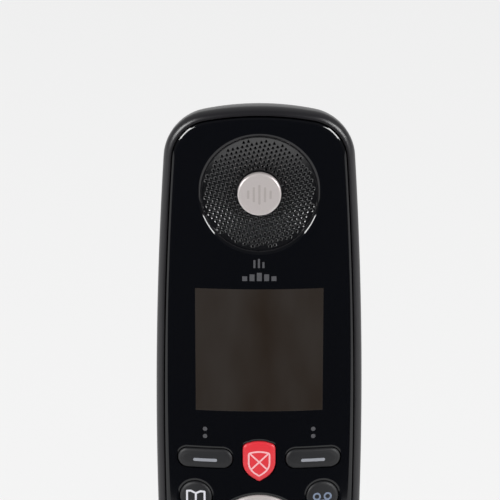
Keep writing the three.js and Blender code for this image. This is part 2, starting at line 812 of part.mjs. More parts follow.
// The height of the base's upper surface: a low deck in front, rising to the rest behind the handset.
function deck(y) {
  const rise = THREE.MathUtils.smoothstep(y, base.riseStart, base.riseEnd);
  return base.deckHeight + (base.backHeight - base.deckHeight) * rise;
}

// The base's outer form, drawn in by inset all round but open downwards to z = low.
function baseForm(inset, low) {
  const round = base.topRound - inset;
  const levels = [
    { inset: inset + base.footInset, z: () => low },
    { inset, z: () => low + base.tuckHeight },
    ...[0, 1, 2, 3].map((i) => {
      const t = (i / 3) * (Math.PI / 2);
      return { inset: inset + round * (1 - Math.cos(t)), z: (y) => deck(y) - inset - round * (1 - Math.sin(t)) };
    }),
  ];
  return loft(levels.map((level) => bowedOutline(baseOutline, level.inset)
    .map((p) => new THREE.Vector3(p.x, p.y, level.z(p.y)))));
}

const seated = new THREE.Matrix4().makeRotationX(-LEAN).setPosition(0, seat.y, seat.z);
const inCradle = (body) => body.transform(seated.toArray());

const shellLow = foot.height + FIT;
const socketAt = (sign) => sign * socket.offset;
const socketBack = base.depth / 2 - base.wall - FIT;

function baseScrewBoss(sign, radius, low, high) {
  return upright(disc(radius, sign * baseScrew.offset, baseScrew.y), low, high, 6);
}

// Where a leaf contact passes through the cradle's floor, in the handset's frame.
function leafBlock(sign, grow, low, high) {
  const [halfWidth, halfDepth] = [leaf.width / 2 + grow, leaf.depth / 2 + grow];
  const x = sign * pad.offset;
  return box([x - halfWidth, pad.middle - halfDepth, low], [x + halfWidth, pad.middle + halfDepth, high]);
}

const plateTop = shellLow + base.plateThickness;

function baseTopShell() {
  const outer = baseForm(0, shellLow);
  const room = baseForm(base.wall, shellLow - 1);
  const raised = (inset) => handsetForm(inset).translate([0, 0, cradle.clearance - cradle.floorGap]);
  const cup = inCradle(raised(-cradle.clearance - cradle.wall)).intersect(outer);
  const pocket = inCradle(raised(-cradle.clearance));
  const bosses = SIDES.map(([, sign]) => baseScrewBoss(sign, baseScrew.bossRadius, plateTop + FIT, base.backHeight)
    .intersect(baseForm(0.5, shellLow)));
  let shell = joined(outer.subtract(room), cup, ...bosses).subtract(pocket);
  for (const [, sign] of SIDES) {
    shell = shell.subtract(inCradle(leafBlock(sign, 2 * FIT, -12, 6)));
    shell = shell.subtract(baseScrewBoss(sign, baseScrew.shankRadius + 0.05, 0, plateTop + baseScrew.length));
    const mouth = [socket.width / 2 + FIT, socket.height / 2 + FIT];
    shell = shell.subtract(box(
      [socketAt(sign) - mouth[0], socketBack - 6, socket.z + socket.height / 2 - mouth[1]],
      [socketAt(sign) + mouth[0], farY, socket.z + socket.height / 2 + mouth[1]],
    ));
  }
  shell = shell.subtract(upright(disc(findButton.radius + FIT, 0, findButton.y), shellLow + 4, farY, 10));
  return shell.subtract(upright(disc(light.radius + FIT, light.x, findButton.y), shellLow + 4, farY, 5));
}

function baseBottomPlate() {
  const edge = base.wall + base.footInset + FIT;
  let plate = upright(new THREE.Shape(bowedOutline(baseOutline, edge)), shellLow, plateTop);
  for (const [, sign] of SIDES) {
    plate = plate.subtract(baseScrewBoss(sign, baseScrew.headRadius + FIT, 0, shellLow + baseScrew.headDepth));
    plate = plate.subtract(baseScrewBoss(sign, baseScrew.shankRadius + FIT, 0, farY));
  }
  return plate;
}

function baseScrewAt(sign) {
  const low = shellLow + 0.1;
  const points = [[0, low], [baseScrew.headRadius, low], [baseScrew.headRadius, shellLow + baseScrew.headDepth - FIT],
    [baseScrew.shankRadius - FIT, shellLow + baseScrew.headDepth - FIT],
    [baseScrew.shankRadius - FIT, plateTop + baseScrew.length - 1], [0, plateTop + baseScrew.length - 1]]
    .map(([r, z]) => new THREE.Vector2(r, z));
  const geometry = new THREE.LatheGeometry(points, 12);
  geometry.rotateX(Math.PI / 2);
  geometry.translate(sign * baseScrew.offset, baseScrew.y, 0);
  return solid(geometry);
}

function baseFoot(across, along) {
  const x = across * (base.width / 2 - foot.inset);
  const y = along * (base.depth / 2 - foot.inset);
  return upright(disc(foot.radius, x, y), 0, foot.height, 8);
}

// A modular socket with its mouth to the rear.
function modularSocket(sign) {
  const x = socketAt(sign);
  const middle = socket.z + socket.height / 2;
  const block = box(
    [x - socket.width / 2, socketBack - socket.length, socket.z],
    [x + socket.width / 2, socketBack, socket.z + socket.height],
  );
  const mouth = box(
    [x - socket.mouthWidth / 2, socketBack - socket.depth, middle - socket.mouthHeight / 2],
    [x + socket.mouthWidth / 2, socketBack + 1, middle + socket.mouthHeight / 2],
  );
  const latch = box(
    [x - 1.6, socketBack - socket.depth, middle - socket.mouthHeight / 2 - 1.2],
    [x + 1.6, socketBack + 1, middle],
  );
  return block.subtract(mouth).subtract(latch);
}

function baseCircuitBoard() {
  const back = socketBack - baseBoard.backGap;
  const z = baseBoard.z;
  const panel = box(
    [-baseBoard.width / 2, back - baseBoard.depth, z],
    [baseBoard.width / 2, back, z + baseBoard.thickness],
  );
  const shieldCan = box([-9, back - 24, z + 1], [9, back - 16, z + 4]);
  const lightBase = light.x - light.radius - FIT;
  const chip = box([-lightBase, findButton.y + 8, z + 1], [lightBase, findButton.y + 13, z + 2.4]);
  return joined(panel, shieldCan, chip);
}

// A spring leaf from the base's floor to just under the handset's contact.
function chargeLeaf(sign) {
  const leafSolid = leafBlock(sign, 0, -leaf.drop, 8);
  return inCradle(leafSolid.subtract(handsetForm(-FIT)));
}

const boardTop = baseBoard.z + baseBoard.thickness;

// The round button on the deck: a cap, a flange below the shell and a stem over its switch.
function findButtonCap() {
  const { radius, flange, stem, proud, travel } = findButton;
  const top = deck(findButton.y) + proud;
  const flangeTop = deck(findButton.y) - base.wall - 2 * FIT;
  const bottom = boardTop + travel + FIT;
  const points = [[0, bottom], [stem, bottom], [stem, flangeTop - 1], [radius + flange, flangeTop - 1],
    [radius + flange, flangeTop], [radius, flangeTop], [radius, top - 0.6], [radius - 0.6, top - 0.15], [0, top]]
    .map(([r, z]) => new THREE.Vector2(r, z));
  const geometry = new THREE.LatheGeometry(points, 20);
  geometry.rotateX(Math.PI / 2);
  geometry.translate(0, findButton.y, 0);
  return solid(geometry);
}

// A clear pipe that brings the light of the board's lamp up to the deck.
function statusLight() {
  return upright(disc(light.radius, light.x, findButton.y), boardTop + FIT, deck(findButton.y) + 0.1, 6);
}

// ---------------------------------------------------------------- materials

const finish = (color, roughness, metalness = 0) => new THREE.MeshStandardMaterial({ color, roughness, metalness });
const materials = {
  casing: finish(0x2a292c, 0.45),
  glossBlack: finish(0x0b0c0f, 0.06),
  keyGrey: finish(0x2b2c30, 0.5),
  blockRed: finish(0xdf2f38, 0.4),
  satinSilver: finish(0xb8b0ac, 0.35, 0.9),
  blackMesh: finish(0x17171a, 0.3, 0.6),
  display: finish(0x1d1a18, 0.2),
  silicone: finish(0x8d8f92, 0.7),
  foam: finish(0x121212, 0.95),
  circuit: finish(0x1f5c38, 0.5),
  speaker: finish(0x33343a, 0.5, 0.3),
  cell: finish(0x3d7a4c, 0.4, 0.2),
  contact: finish(0xc9b07a, 0.3, 1),
  steel: finish(0x9a9ca0, 0.35, 1),
  basePlastic: finish(0x1c1c1f, 0.4),
  rubber: finish(0x161616, 0.9),
  clearLight: finish(0xcfd8d2, 0.2),
};

// ---------------------------------------------------------------- the assembly

function node(name, body, material) {
  const mesh = new THREE.Mesh(geometryOf(body), material);
  mesh.name = name;
  return mesh;
}

function makeHandset() {
  const group = new THREE.Group();
  group.rotation.x = -LEAN;
  group.position.set(0, seat.y, seat.z);
  const add = (name, body, material) => group.add(node(name, body, material));

  add('handset_front_casing', frontCasing(), materials.casing);
  add('handset_rear_casing', rearCasing(), materials.casing);
  add('fascia', fasciaPanel(), materials.glossBlack);
  add('earpiece_grille', earpieceGrille(), materials.blackMesh);
  add('earpiece_disc', earpieceDisc(), materials.satinSilver);
  add('earpiece_gasket', earpieceGasket(), materials.foam);
  add('earpiece_speaker', earpieceSpeaker(), materials.speaker);
  add('display_module', displayModule(), materials.display);
  add('handset_circuit_board', handsetBoard(), materials.circuit);
  add('keypad_membrane', keypadMembrane(), materials.silicone);
  add('microphone', microphoneCapsule(), materials.speaker);
  add('ringer_speaker', ringerSpeaker(), materials.speaker);
  for (const one of pressKeys) {
    add(one.name, keyCap(one), one === block ? materials.blockRed : materials.keyGrey);
  }
  add('navigation_rocker', navigationRocker(), materials.satinSilver);
  add('select_key', selectKey(), materials.keyGrey);
  add('battery_cell_left', batteryCell(LEFT, 1), materials.cell);
  add('battery_cell_right', batteryCell(RIGHT, -1), materials.cell);
  for (const [name, body] of Object.entries(batteryContacts())) add(name, body, materials.contact);
  add('battery_cover', batteryCover(), materials.casing);
  for (const [side, sign] of SIDES) {
    add(`handset_charge_pad_${side}`, chargePad(sign), materials.contact);
    add(`handset_screw_${side}`, casingScrewAt(sign), materials.steel);
  }
  return group;
}

function makeBase() {
  const group = new THREE.Group();
  const add = (name, body, material) => group.add(node(name, body, material));

  add('base_top_shell', baseTopShell(), materials.basePlastic);
  add('base_bottom_plate', baseBottomPlate(), materials.basePlastic);
  add('base_circuit_board', baseCircuitBoard(), materials.circuit);
  add('find_button', findButtonCap(), materials.keyGrey);
  add('status_light', statusLight(), materials.clearLight);
  add('power_socket', modularSocket(RIGHT), materials.rubber);
  add('line_socket', modularSocket(LEFT), materials.rubber);
  for (const [side, sign] of SIDES) {
    add(`base_charge_contact_${side}`, chargeLeaf(sign), materials.contact);
    add(`base_screw_${side}`, baseScrewAt(sign), materials.steel);
    add(`base_foot_front_${side}`, baseFoot(sign, -1), materials.rubber);
    add(`base_foot_rear_${side}`, baseFoot(sign, 1), materials.rubber);
  }
  return group;
}

const phone = new THREE.Group();
phone.add(makeBase(), makeHandset());

export default phone;
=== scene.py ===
"""The looks of a cordless phone in its charging base, as a Blender add-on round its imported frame."""

import json
import math
from typing import NamedTuple

import bmesh
import bpy
from bpy.props import FloatProperty, FloatVectorProperty, IntProperty, PointerProperty
from mathutils import Matrix, Vector
from mathutils.bvhtree import BVHTree


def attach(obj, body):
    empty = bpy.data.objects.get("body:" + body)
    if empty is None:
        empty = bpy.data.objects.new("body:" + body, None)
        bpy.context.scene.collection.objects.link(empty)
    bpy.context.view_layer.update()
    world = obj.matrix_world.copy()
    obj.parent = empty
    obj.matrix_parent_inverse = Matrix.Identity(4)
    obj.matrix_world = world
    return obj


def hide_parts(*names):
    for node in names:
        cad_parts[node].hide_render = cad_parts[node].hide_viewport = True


bl_info = {
    "name": "Cordless Phone with Base",
    "version": (1, 0, 0),
    "blender": (4, 5, 0),
    "location": "View3D > Sidebar > Phone",
    "description": "Builds the detailed surfaces of a cordless phone and its charging base",
    "category": "Object",
}

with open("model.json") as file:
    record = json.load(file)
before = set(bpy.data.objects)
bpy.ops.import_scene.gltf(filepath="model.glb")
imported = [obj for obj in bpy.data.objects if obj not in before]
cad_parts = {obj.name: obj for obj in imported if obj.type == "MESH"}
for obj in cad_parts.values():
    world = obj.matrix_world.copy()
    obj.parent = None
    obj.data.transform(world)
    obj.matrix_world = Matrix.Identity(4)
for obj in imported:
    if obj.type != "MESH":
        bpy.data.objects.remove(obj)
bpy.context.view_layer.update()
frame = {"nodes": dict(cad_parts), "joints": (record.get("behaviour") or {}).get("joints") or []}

MM = 0.001
MERGE = 0.002 * MM  # vertices closer than this are one
SHARP = math.radians(32)  # edges turned further than this stay crisp
GRILLE_SHARP = math.radians(16)  # and on the grille, whose chamfers are shallow
SLIVER = 0.02  # no cut is made nearer to a piece's end than this share of a step
CUT_ACROSS = 1.0 * MM  # a flat piece is cut this often from side to side before it is bent
CUT_ALONG = 3.0 * MM  # and this often along its length
CASING_CUT = 1.5 * MM  # the casing bends less, and is cut this often
FAR_ABOVE = 20 * MM  # higher than any surface that takes a print
CAPITAL = 0.73  # height of the built-in font's capitals, as a share of its size
TAU = 2 * math.pi


# ---------------------------------------------------------------- the frame's own places


def joint(name):
    """A joint of the frame, by name."""
    return next(entry for entry in frame["joints"] if entry["name"] == name)


LIFT_AXIS = Vector(joint("handset_lift")["axis"])
LEAN = math.atan2(LIFT_AXIS.y, LIFT_AXIS.z)  # the handset leans back by this much
UPRIGHT = Matrix.Rotation(LEAN, 4, "X")  # stands the leaning handset up straight


def box_in(matrix, node):
    """The lowest and highest corners of a CAD node in another set of axes."""
    places = [matrix @ vertex.co for vertex in frame["nodes"][node].data.vertices]
    return (
        Vector(min(place[axis] for place in places) for axis in range(3)),
        Vector(max(place[axis] for place in places) for axis in range(3)),
    )


CASING_LOW, CASING_HIGH = box_in(UPRIGHT, "handset_front_casing")
CROWN = box_in(UPRIGHT, "fascia")[0].y  # the foremost line of the crowned face

# The face's own axes: x across, y up the handset from its lower end, z out of the face from its crown.
FACE = (
    UPRIGHT.inverted()
    @ Matrix.Translation((0, CROWN, CASING_LOW.z))
    @ Matrix.Rotation(math.pi / 2, 4, "X")
)
LENGTH = CASING_HIGH.z - CASING_LOW.z
FRONT_DEPTH = CASING_HIGH.y - CROWN  # from the crown back to the parting plane


def face_box(node):
    """The lowest and highest corners of a CAD node in the face's axes."""
    return box_in(FACE.inverted(), node)


def face_middle(node):
    """The middle of a CAD node, seen from the front, in the face's axes."""
    low, high = face_box(node)
    return (low.x + high.x) / 2, (low.y + high.y) / 2


# ---------------------------------------------------------------- settings


def length_property(name, description, default):
    """A length in metres that the user may change."""
    return FloatProperty(
        name=name, description=description, default=default, unit="LENGTH", subtype="DISTANCE"
    )


def colour_property(name, description, default):
    """A linear colour that the user may change."""
    return FloatVectorProperty(
        name=name, description=description, default=default, size=3, subtype="COLOR", min=0, max=1
    )


class PhoneHandsetSizes(bpy.types.PropertyGroup):
    """Sizes of the handset's casing and face."""

    side_bow: length_property("Side bow", "Radius of the handset's gently bowed sides", 1000 * MM)
    widest_drop: length_property("Widest drop", "How far below the top the handset is widest", 82.2 * MM)
    top_bow: length_property("Top bow", "Radius of the top end", 68 * MM)
    top_corner: length_property("Top corner", "Radius of the two upper corners", 12 * MM)
    low_bow: length_property("Lower bow", "Radius of the lower end", 64 * MM)
    low_corner: length_property("Lower corner", "Radius of the two lower corners", 13 * MM)
    crown: length_property("Crown", "Radius of the face's curve from side to side", 100 * MM)
    rim: length_property("Rim", "Width of the casing's edge round the fascia", 1.75 * MM)
    rim_round: length_property("Rim rounding", "Depth over which the rim rounds off", 3.6 * MM)
    rim_dip: length_property("Rim dip", "How far the rim lies below the face's crown", 0.75 * MM)
    back_inset: length_property("Back inset", "How far the back's rounding comes in", 11 * MM)
    back_depth: length_property("Back depth", "From the parting plane to the flat of the back", 15 * MM)
    fascia_inset: length_property("Fascia inset", "From the outline to the fascia's edge", 2.25 * MM)
    fascia_round: length_property("Fascia rounding", "Width of the fascia's rounded edge", 0.9 * MM)
    fascia_slope: FloatProperty(
        name="Fascia slope",
        description="Slope at which the fascia's edge starts",
        default=math.radians(38),
        subtype="ANGLE",
    )
    fascia_land: length_property("Fascia land", "Level strip inside the fascia's rounded edge", 0.15 * MM)
    fascia_thickness: length_property("Fascia thickness", "Thickness of the fascia", 1.4 * MM)
    fascia_skirt: length_property("Fascia skirt", "How far the fascia's edges reach back", 0.6 * MM)
    microphone_hole: length_property("Microphone hole", "Radius of the hole over the microphone", 0.75 * MM)


class PhoneKeySizes(bpy.types.PropertyGroup):
    """Sizes of the keys and the recesses they stand in."""

    flange: length_property("Flange", "How far a key's hidden flange reaches past its cap", 0.8 * MM)
    gap: length_property("Gap", "Gap between a key and the fascia", 0.28 * MM)
    dish_margin: length_property("Dish margin", "Flat ring outside a key's dish", 0.15 * MM)
    dish_width: length_property("Dish width", "Width of the shallow dish round a key", 0.55 * MM)
    dish_depth: length_property("Dish depth", "Depth of the shallow dish round a key", 0.03 * MM)
    proud: length_property("Proud", "How far a key stands out of the fascia", 0.62 * MM)
    round_width: length_property("Edge width", "Width of a key's rounded edge", 1.0 * MM)
    round_height: length_property("Edge height", "Height of a key's rounded edge", 0.6 * MM)
    dome: length_property("Dome", "Rise of a key's gently domed top", 0.1 * MM)
    pill_dome: length_property("Oblong dome", "Width over which an oblong key's top rises", 1.1 * MM)
    round_dome: length_property("Round dome", "Width over which a round key's top rises", 2.4 * MM)
    shield_dome: length_property("Shield dome", "Width over which the shield key's top rises", 1.4 * MM)
    shield_rise: length_property("Shield rise", "How far the shield's top bows up", 0.9 * MM)
    shield_corner: length_property("Shield corner", "Size of the shield's two upper corners", 1.3 * MM)
    shield_shoulder: FloatProperty(
        name="Shield shoulder",
        description="Share of the shield's height at which its sides turn in",
        default=0.52,
        min=0.3,
        max=0.8,
    )
    print_lift: length_property("Print lift", "How far a printed symbol stands off its surface", 0.02 * MM)


class PhoneNavigationSizes(bpy.types.PropertyGroup):
    """Sizes of the navigation rocker and of the select key inside it."""

    flange: length_property("Flange", "How far the rocker's hidden flange reaches past its cap", 0.5 * MM)
    hole: length_property("Hole", "Radius of the hole in the rocker", 5.7 * MM)
    rise: length_property("Rise", "How far the rocker stands out past the other keys", 0.1 * MM)
    crown: length_property("Crown", "Rise of the rocker's top between its two edges", 0.12 * MM)
    outer_width: length_property("Outer width", "Width of the rocker's outer rounded edge", 1.3 * MM)
    outer_height: length_property("Outer height", "Height of the rocker's outer rounded edge", 0.75 * MM)
    inner_width: length_property("Inner width", "Width of the rocker's inner rounded edge", 0.5 * MM)
    inner_height: length_property("Inner height", "Height of the rocker's inner rounded edge", 0.35 * MM)
    arrow: length_property("Arrow", "Size of a printed arrow", 1.2 * MM)
    select_width: length_property("Select width", "Width of the select key's rounded edge", 0.7 * MM)
    select_height: length_property("Select height", "Height of the select key's rounded edge", 0.45 * MM)
    select_crown: length_property("Select crown", "Rise of the key's top inside that edge", 0.05 * MM)
    select_mark: length_property("Select mark", "Radius of the dot on the select key", 1.1 * MM)


class PhoneEarpieceSizes(bpy.types.PropertyGroup):
    """Sizes of the earpiece."""

    ring_radius: length_property("Ring radius", "Outer radius of the dished ring", 15.15 * MM)
    ring_depth: length_property("Ring depth", "Depth of the dished ring", 1.15 * MM)
    ring_margin: length_property("Ring margin", "Level ring outside the dished ring", 0.3 * MM)
    grille_radius: length_property("Grille radius", "Radius of the perforated grille", 13.9 * MM)
    bowl_depth: length_property("Bowl depth", "Depth of the grille's bowl", 1.9 * MM)
    pattern_turn: FloatProperty(
        name="Pattern turn",
        description="Turn of the pattern of holes",
        default=math.radians(14),
        subtype="ANGLE",
    )
    hole_margin: length_property("Hole margin", "Unpierced width at the badge and at the rim", 0.55 * MM)
    hole_chamfer: length_property("Hole chamfer", "Width of the chamfer round a hole", 0.22 * MM)
    chamfer_fall: length_property("Chamfer fall", "Depth of the chamfer round a hole", 0.1 * MM)
    hole_pitch: length_property("Hole pitch", "Spacing of the grille's holes", 1.18 * MM)
    hole_radius: length_property("Hole radius", "Radius of one hole", 0.29 * MM)
    hole_sides: IntProperty(name="Hole sides", description="Straight sides of one hole", default=8, min=6)
    sheet: length_property("Sheet", "Thickness of the grille's sheet", 0.35 * MM)
    sheet_reach: length_property("Sheet reach", "How far the sheet reaches under the ring", 0.05 * MM)
    badge_lap: length_property("Badge lap", "How far the badge laps over the sheet", 0.4 * MM)
    badge_radius: length_property("Badge radius", "Radius of the silver disc", 5.3 * MM)
    badge_height: length_property("Badge height", "Thickness of the silver disc", 1.5 * MM)
    badge_edge: length_property("Badge edge", "Width of the disc's rounded edge", 0.55 * MM)
    badge_round: length_property("Badge rounding", "Height of the disc's rounded edge", 0.5 * MM)
    badge_land: length_property("Badge land", "Width of the strip inside the rounded edge", 0.2 * MM)
    badge_dip: length_property("Badge dip", "How far that strip lies below the disc's middle", 0.02 * MM)


class PhoneDisplaySizes(bpy.types.PropertyGroup):
    """Sizes of the display's window and of the prints on the fascia."""

    half_width: length_property("Half width", "Half the window's width", 15.7 * MM)
    drop: length_property("Drop", "From the handset's top to the window", 44.8 * MM)
    tall: length_property("Height", "Height of the window", 31.4 * MM)
    seat: length_property("Seat", "How deep the glass sits in the fascia", 0.05 * MM)
    lift: length_property("Lift", "How far the glass stands out of the fascia", 0.03 * MM)
    sign_drop: length_property("Sign drop", "From the handset's top to the sound sign", 37.1 * MM)
    dot_drop: length_property("Dot drop", "From the handset's top to the upper dots", 81.1 * MM)
    dot_radius: length_property("Dot radius", "Radius of a printed dot", 0.55 * MM)
    dot_pitch: length_property("Dot pitch", "From an upper dot to the one below it", 1.9 * MM)


class PhoneColours(bpy.types.PropertyGroup):
    """Linear colours of the phone's finishes."""

    casing: colour_property("Casing", "Satin charcoal of the casing", (0.010, 0.0095, 0.0115))
    fascia: colour_property("Fascia", "Gloss black of the fascia", (0.0025, 0.0028, 0.0040))
    # The window's colour is the display's own dark tone, lightened with a painted reflection of the display
    # glass under the window.
    window: colour_property("Window", "Dark glass of the display", (0.020, 0.017, 0.0145))
    key: colour_property("Key", "Dark grey of the keys", (0.0056, 0.0058, 0.0073))
    block_key: colour_property("Block key", "Red of the call-block key", (0.66, 0.026, 0.038))
    silver: colour_property("Silver", "Satin silver", (0.62, 0.57, 0.56))
    grille: colour_property("Grille", "Black of the grille", (0.004, 0.004, 0.005))
    base: colour_property("Base", "Satin black of the base", (0.016, 0.016, 0.018))


class PhoneStageSettings(bpy.types.PropertyGroup):
    """Sizes and strengths of the stage."""

    distance: length_property("Distance", "From the camera to its aim", 0.52)
    elevation: FloatProperty(
        name="Elevation",
        description="How far the camera looks down",
        default=math.radians(30),
        subtype="ANGLE",
    )
    lens: FloatProperty(name="Lens", description="Focal length in millimetres", default=154.1, min=10)
    aim_drop: length_property("Aim drop", "From the handset's top to the point aimed by", 38 * MM)
    aim_right: length_property("Aim right", "Aim beside the point on the face's middle line", -2.27 * MM)
    aim_up: length_property("Aim up", "Aim above the point on the face's middle line", 3.04 * MM)
    floor_radius: length_property("Floor radius", "Radius of the floor", 8.0)
    floor_tone: FloatProperty(name="Floor tone", description="Grey of the floor's own colour", default=0.15)
    floor_glow: FloatProperty(name="Floor glow", description="Light that the floor gives off", default=0.76)
    ground: FloatProperty(name="Ground", description="Brightness behind the phone", default=0.887)
    room_front: FloatProperty(name="Room in front", description="Brightness of the room", default=0.03)
    room_back: FloatProperty(name="Room behind", description="Brightness of the room", default=0.4)
    softbox_power: FloatProperty(name="Softbox power", description="Power of each in watts", default=14)
    softbox_size: length_property("Softbox size", "Width and height of a softbox", 0.5)
    softbox_side: length_property("Softbox side", "How far a softbox stands to the side", 1.0)
    softbox_front: length_property("Softbox front", "How far a softbox stands in front", 0.45)
    softbox_level: length_property("Softbox level", "Height of a softbox's middle", 0.75)
    card_width: length_property("Card width", "Width of the dark card", 1.8)
    card_height: length_property("Card height", "Height of the dark card", 0.9)
    card_away: length_property("Card away", "From the phone to the dark card", 0.55)
    card_level: length_property("Card level", "Height of the dark card's middle", 0.35)


def sizes(name):
    """A group of settings, as the user has set it."""
    return getattr(bpy.context.scene, name)


# ---------------------------------------------------------------- outlines


class Bowed(NamedTuple):
    """A closed outline of four gently bowed sides and four round corners, symmetric about x = 0."""

    half_width: float
    low: float
    high: float
    widest: float
    side: float
    top: float
    top_corner: float
    bottom: float
    low_corner: float


def handset_outline():
    """The handset's outline, seen from the front."""
    form = sizes("phone_handset")
    return Bowed(
        half_width=CASING_HIGH.x,
        low=0.0,
        high=LENGTH,
        widest=LENGTH - form.widest_drop,
        side=form.side_bow,
        top=form.top_bow,
        top_corner=form.top_corner,
        bottom=form.low_bow,
        low_corner=form.low_corner,
    )


def corner_centre(side, side_reach, end, end_reach, upward):
    """The centre of a corner arc, at given distances from the centres of the two arcs that it joins."""
    between = end - side
    span = between.length
    along = (side_reach**2 - end_reach**2 + span**2) / (2 * span)
    off = math.sqrt(side_reach**2 - along**2) * upward
    between.normalize()
    return side + between * along + Vector((-between.y, between.x)) * off


def heading(centre, place):
    """The direction from one point to another."""
    return math.atan2(place.y - centre.y, place.x - centre.x)


def bowed_face(bm, shape, inset=0.0, height=0.0, end_steps=8, corner_steps=14, side_steps=36):
    """A flat face with a bowed outline: five arcs spun from one vertex, mirrored to the left."""
    side = Vector((shape.half_width - shape.side, shape.widest))
    top = Vector((0, shape.high - shape.top))
    bottom = Vector((0, shape.low + shape.bottom))
    up = corner_centre(side, shape.side - shape.top_corner, top, shape.top - shape.top_corner, 1)
    down = corner_centre(side, shape.side - shape.low_corner, bottom, shape.bottom - shape.low_corner, -1)
    turns = (
        math.pi / 2,
        heading(top, up),
        heading(side, up),
        heading(side, down),
        heading(bottom, down),
        -math.pi / 2,
    )
    arcs = (
        (top, end_steps),
        (up, corner_steps),
        (side, side_steps),
        (down, corner_steps),
        (bottom, end_steps),
    )
    tip = bm.verts.new((0, shape.high - inset, height))
    made = [tip]
    for (centre, steps), begin, end in zip(arcs, turns, turns[1:]):
        before = len(bm.verts)
        spun = bmesh.ops.spin(
            bm,
            geom=[tip],
            cent=(centre.x, centre.y, height),
            axis=(0, 0, -1),
            angle=begin - end,
            steps=steps,
        )
        tip = next(item for item in spun["geom_last"] if isinstance(item, bmesh.types.BMVert))
        bm.verts.ensure_lookup_table()
        made += bm.verts[before:]
    edges = [edge for vertex in made for edge in vertex.link_edges]
    mirrored = bmesh.ops.mirror(bm, geom=made + list(set(edges)), axis="X", merge_dist=MERGE)
    loop = set(edges) | {item for item in mirrored["geom"] if isinstance(item, bmesh.types.BMEdge)}
    return one_face(bm, [edge for edge in loop if edge.is_valid])


def one_face(bm, edges):
    """The face that a closed loop of edges bounds, turned towards +Z."""
    face = bmesh.ops.contextual_create(bm, geom=list(edges))["faces"][0]
    face.normal_update()
    if face.normal.z < 0:
        face.normal_flip()
    return face


def disc_face(bm, radius, middle=(0, 0), height=0.0, segments=48, turn=0.0):
    """A round flat face, its first corner turned from straight up."""
    place = Matrix.Translation((middle[0], middle[1], height)) @ Matrix.Rotation(turn, 4, "Z")
    made = bmesh.ops.create_circle(bm, cap_ends=True, segments=segments, radius=radius, matrix=place)
    return made["verts"][0].link_faces[0]


def pill_face(bm, length, width, middle=(0, 0), height=0.0, segments=40):
    """A flat face with straight sides and half-round ends: a circle pulled apart."""
    turn = Matrix.Rotation(math.pi / segments, 4, "Z")
    circle = bmesh.ops.create_circle(bm, cap_ends=True, segments=segments, radius=width / 2, matrix=turn)
    made = circle["verts"]
    for sign in (-1, 1):
        half = [vertex for vertex in made if vertex.co.x * sign > 0]
        bmesh.ops.translate(bm, verts=half, vec=(sign * (length - width) / 2, 0, 0))
    bmesh.ops.translate(bm, verts=made, vec=(middle[0], middle[1], height))
    return made[0].link_faces[0]


def polygon_face(bm, points, height=0.0):
    """A flat face through a few points, turned towards +Z."""
    face = bm.faces.new([bm.verts.new((x, y, height)) for x, y in points])
    face.normal_update()
    if face.normal.z < 0:
        face.normal_flip()
    return face


def bezier(start, control, end, steps=8):
    """Points along a quadratic curve, without its first one."""
    points = []
    for step in range(1, steps + 1):
        t = step / steps
        points.append(tuple(
            (1 - t) ** 2 * a + 2 * t * (1 - t) * b + t * t * c for a, b, c in zip(start, control, end)
        ))
    return points


def shield_points(half, top, point, rise, corner, shoulder):
    """The outline of a shield with a bowed top, round corners and two arcs that meet in a point."""
    level = top - (top - point) * shoulder
    tip = (half * 0.22, point + (top - point) * 0.045)
    shoulder_low = (half, level)
    shoulder_high = (half, top - rise - corner)
    brow = (half - corner, top - rise * 0.72)
    crest = (0, top - rise * 0.14)
    right = [(0, point)]
    right += bezier((0, point), (half * 0.1, point), tip, 3)
    right += bezier(tip, (half, point + (level - point) * 0.42), shoulder_low, 10)
    right += bezier(shoulder_low, (half, (level + top - rise - corner) / 2), shoulder_high, 3)
    right += bezier(shoulder_high, (half, top - rise), brow, 6)
    right += bezier(brow, (half * 0.4, top - rise * 0.15), crest, 6)
    return right + [(-x, y) for x, y in right[-2:0:-1]]


# ---------------------------------------------------------------- shaping


def step_in(bm, face, inset, rise):
    """Takes a face's edge in by inset and moves the face out by rise."""
    if inset > MERGE:
        bmesh.ops.inset_region(
            bm, faces=[face], thickness=inset, depth=rise, use_even_offset=True, use_boundary=True
        )
        return face
    up = face.normal * rise
    raised = bmesh.ops.extrude_discrete_faces(bm, faces=[face])["faces"][0]
    bmesh.ops.translate(bm, verts=raised.verts, vec=up)
    return raised


def follow(bm, face, profile):
    """Takes a face through a profile of (inset, height) places, each counted from the first."""
    for (inset, height), (next_inset, next_height) in zip(profile, profile[1:]):
        face = step_in(bm, face, next_inset - inset, next_height - height)
    return face


def follow_scaled(bm, face, reach, profile):
    """Takes a face through a profile by drawing it in to its middle, for outlines with tight corners."""
    middle = face.calc_center_bounds()
    for (inset, height), (next_inset, next_height) in zip(profile, profile[1:]):
        up = face.normal * (next_height - height)
        face = bmesh.ops.extrude_discrete_faces(bm, faces=[face])["faces"][0]
        share = (reach - next_inset) / (reach - inset)
        place = Matrix.Translation((-middle.x, -middle.y, 0))
        bmesh.ops.scale(bm, verts=face.verts, vec=(share, share, 1), space=place)
        bmesh.ops.translate(bm, verts=face.verts, vec=up)
    return face


def quarter_round(width, rise, steps, start=(0.0, 0.0)):
    """A profile that rises steeply and then levels out over a quarter of an ellipse."""
    angles = [step / steps * math.pi / 2 for step in range(steps + 1)]
    return [(start[0] + width * (1 - math.cos(a)), start[1] + rise * math.sin(a)) for a in angles]


def eased_edge(width, slope, steps):
    """A profile that starts at a slope and levels out over its width along one arc."""
    sin, cos = math.sin(slope), math.cos(slope)
    radius = width / sin
    angles = [slope * (1 - step / steps) for step in range(steps + 1)]
    return [(radius * (sin - math.sin(a)), radius * (math.cos(a) - cos)) for a in angles]


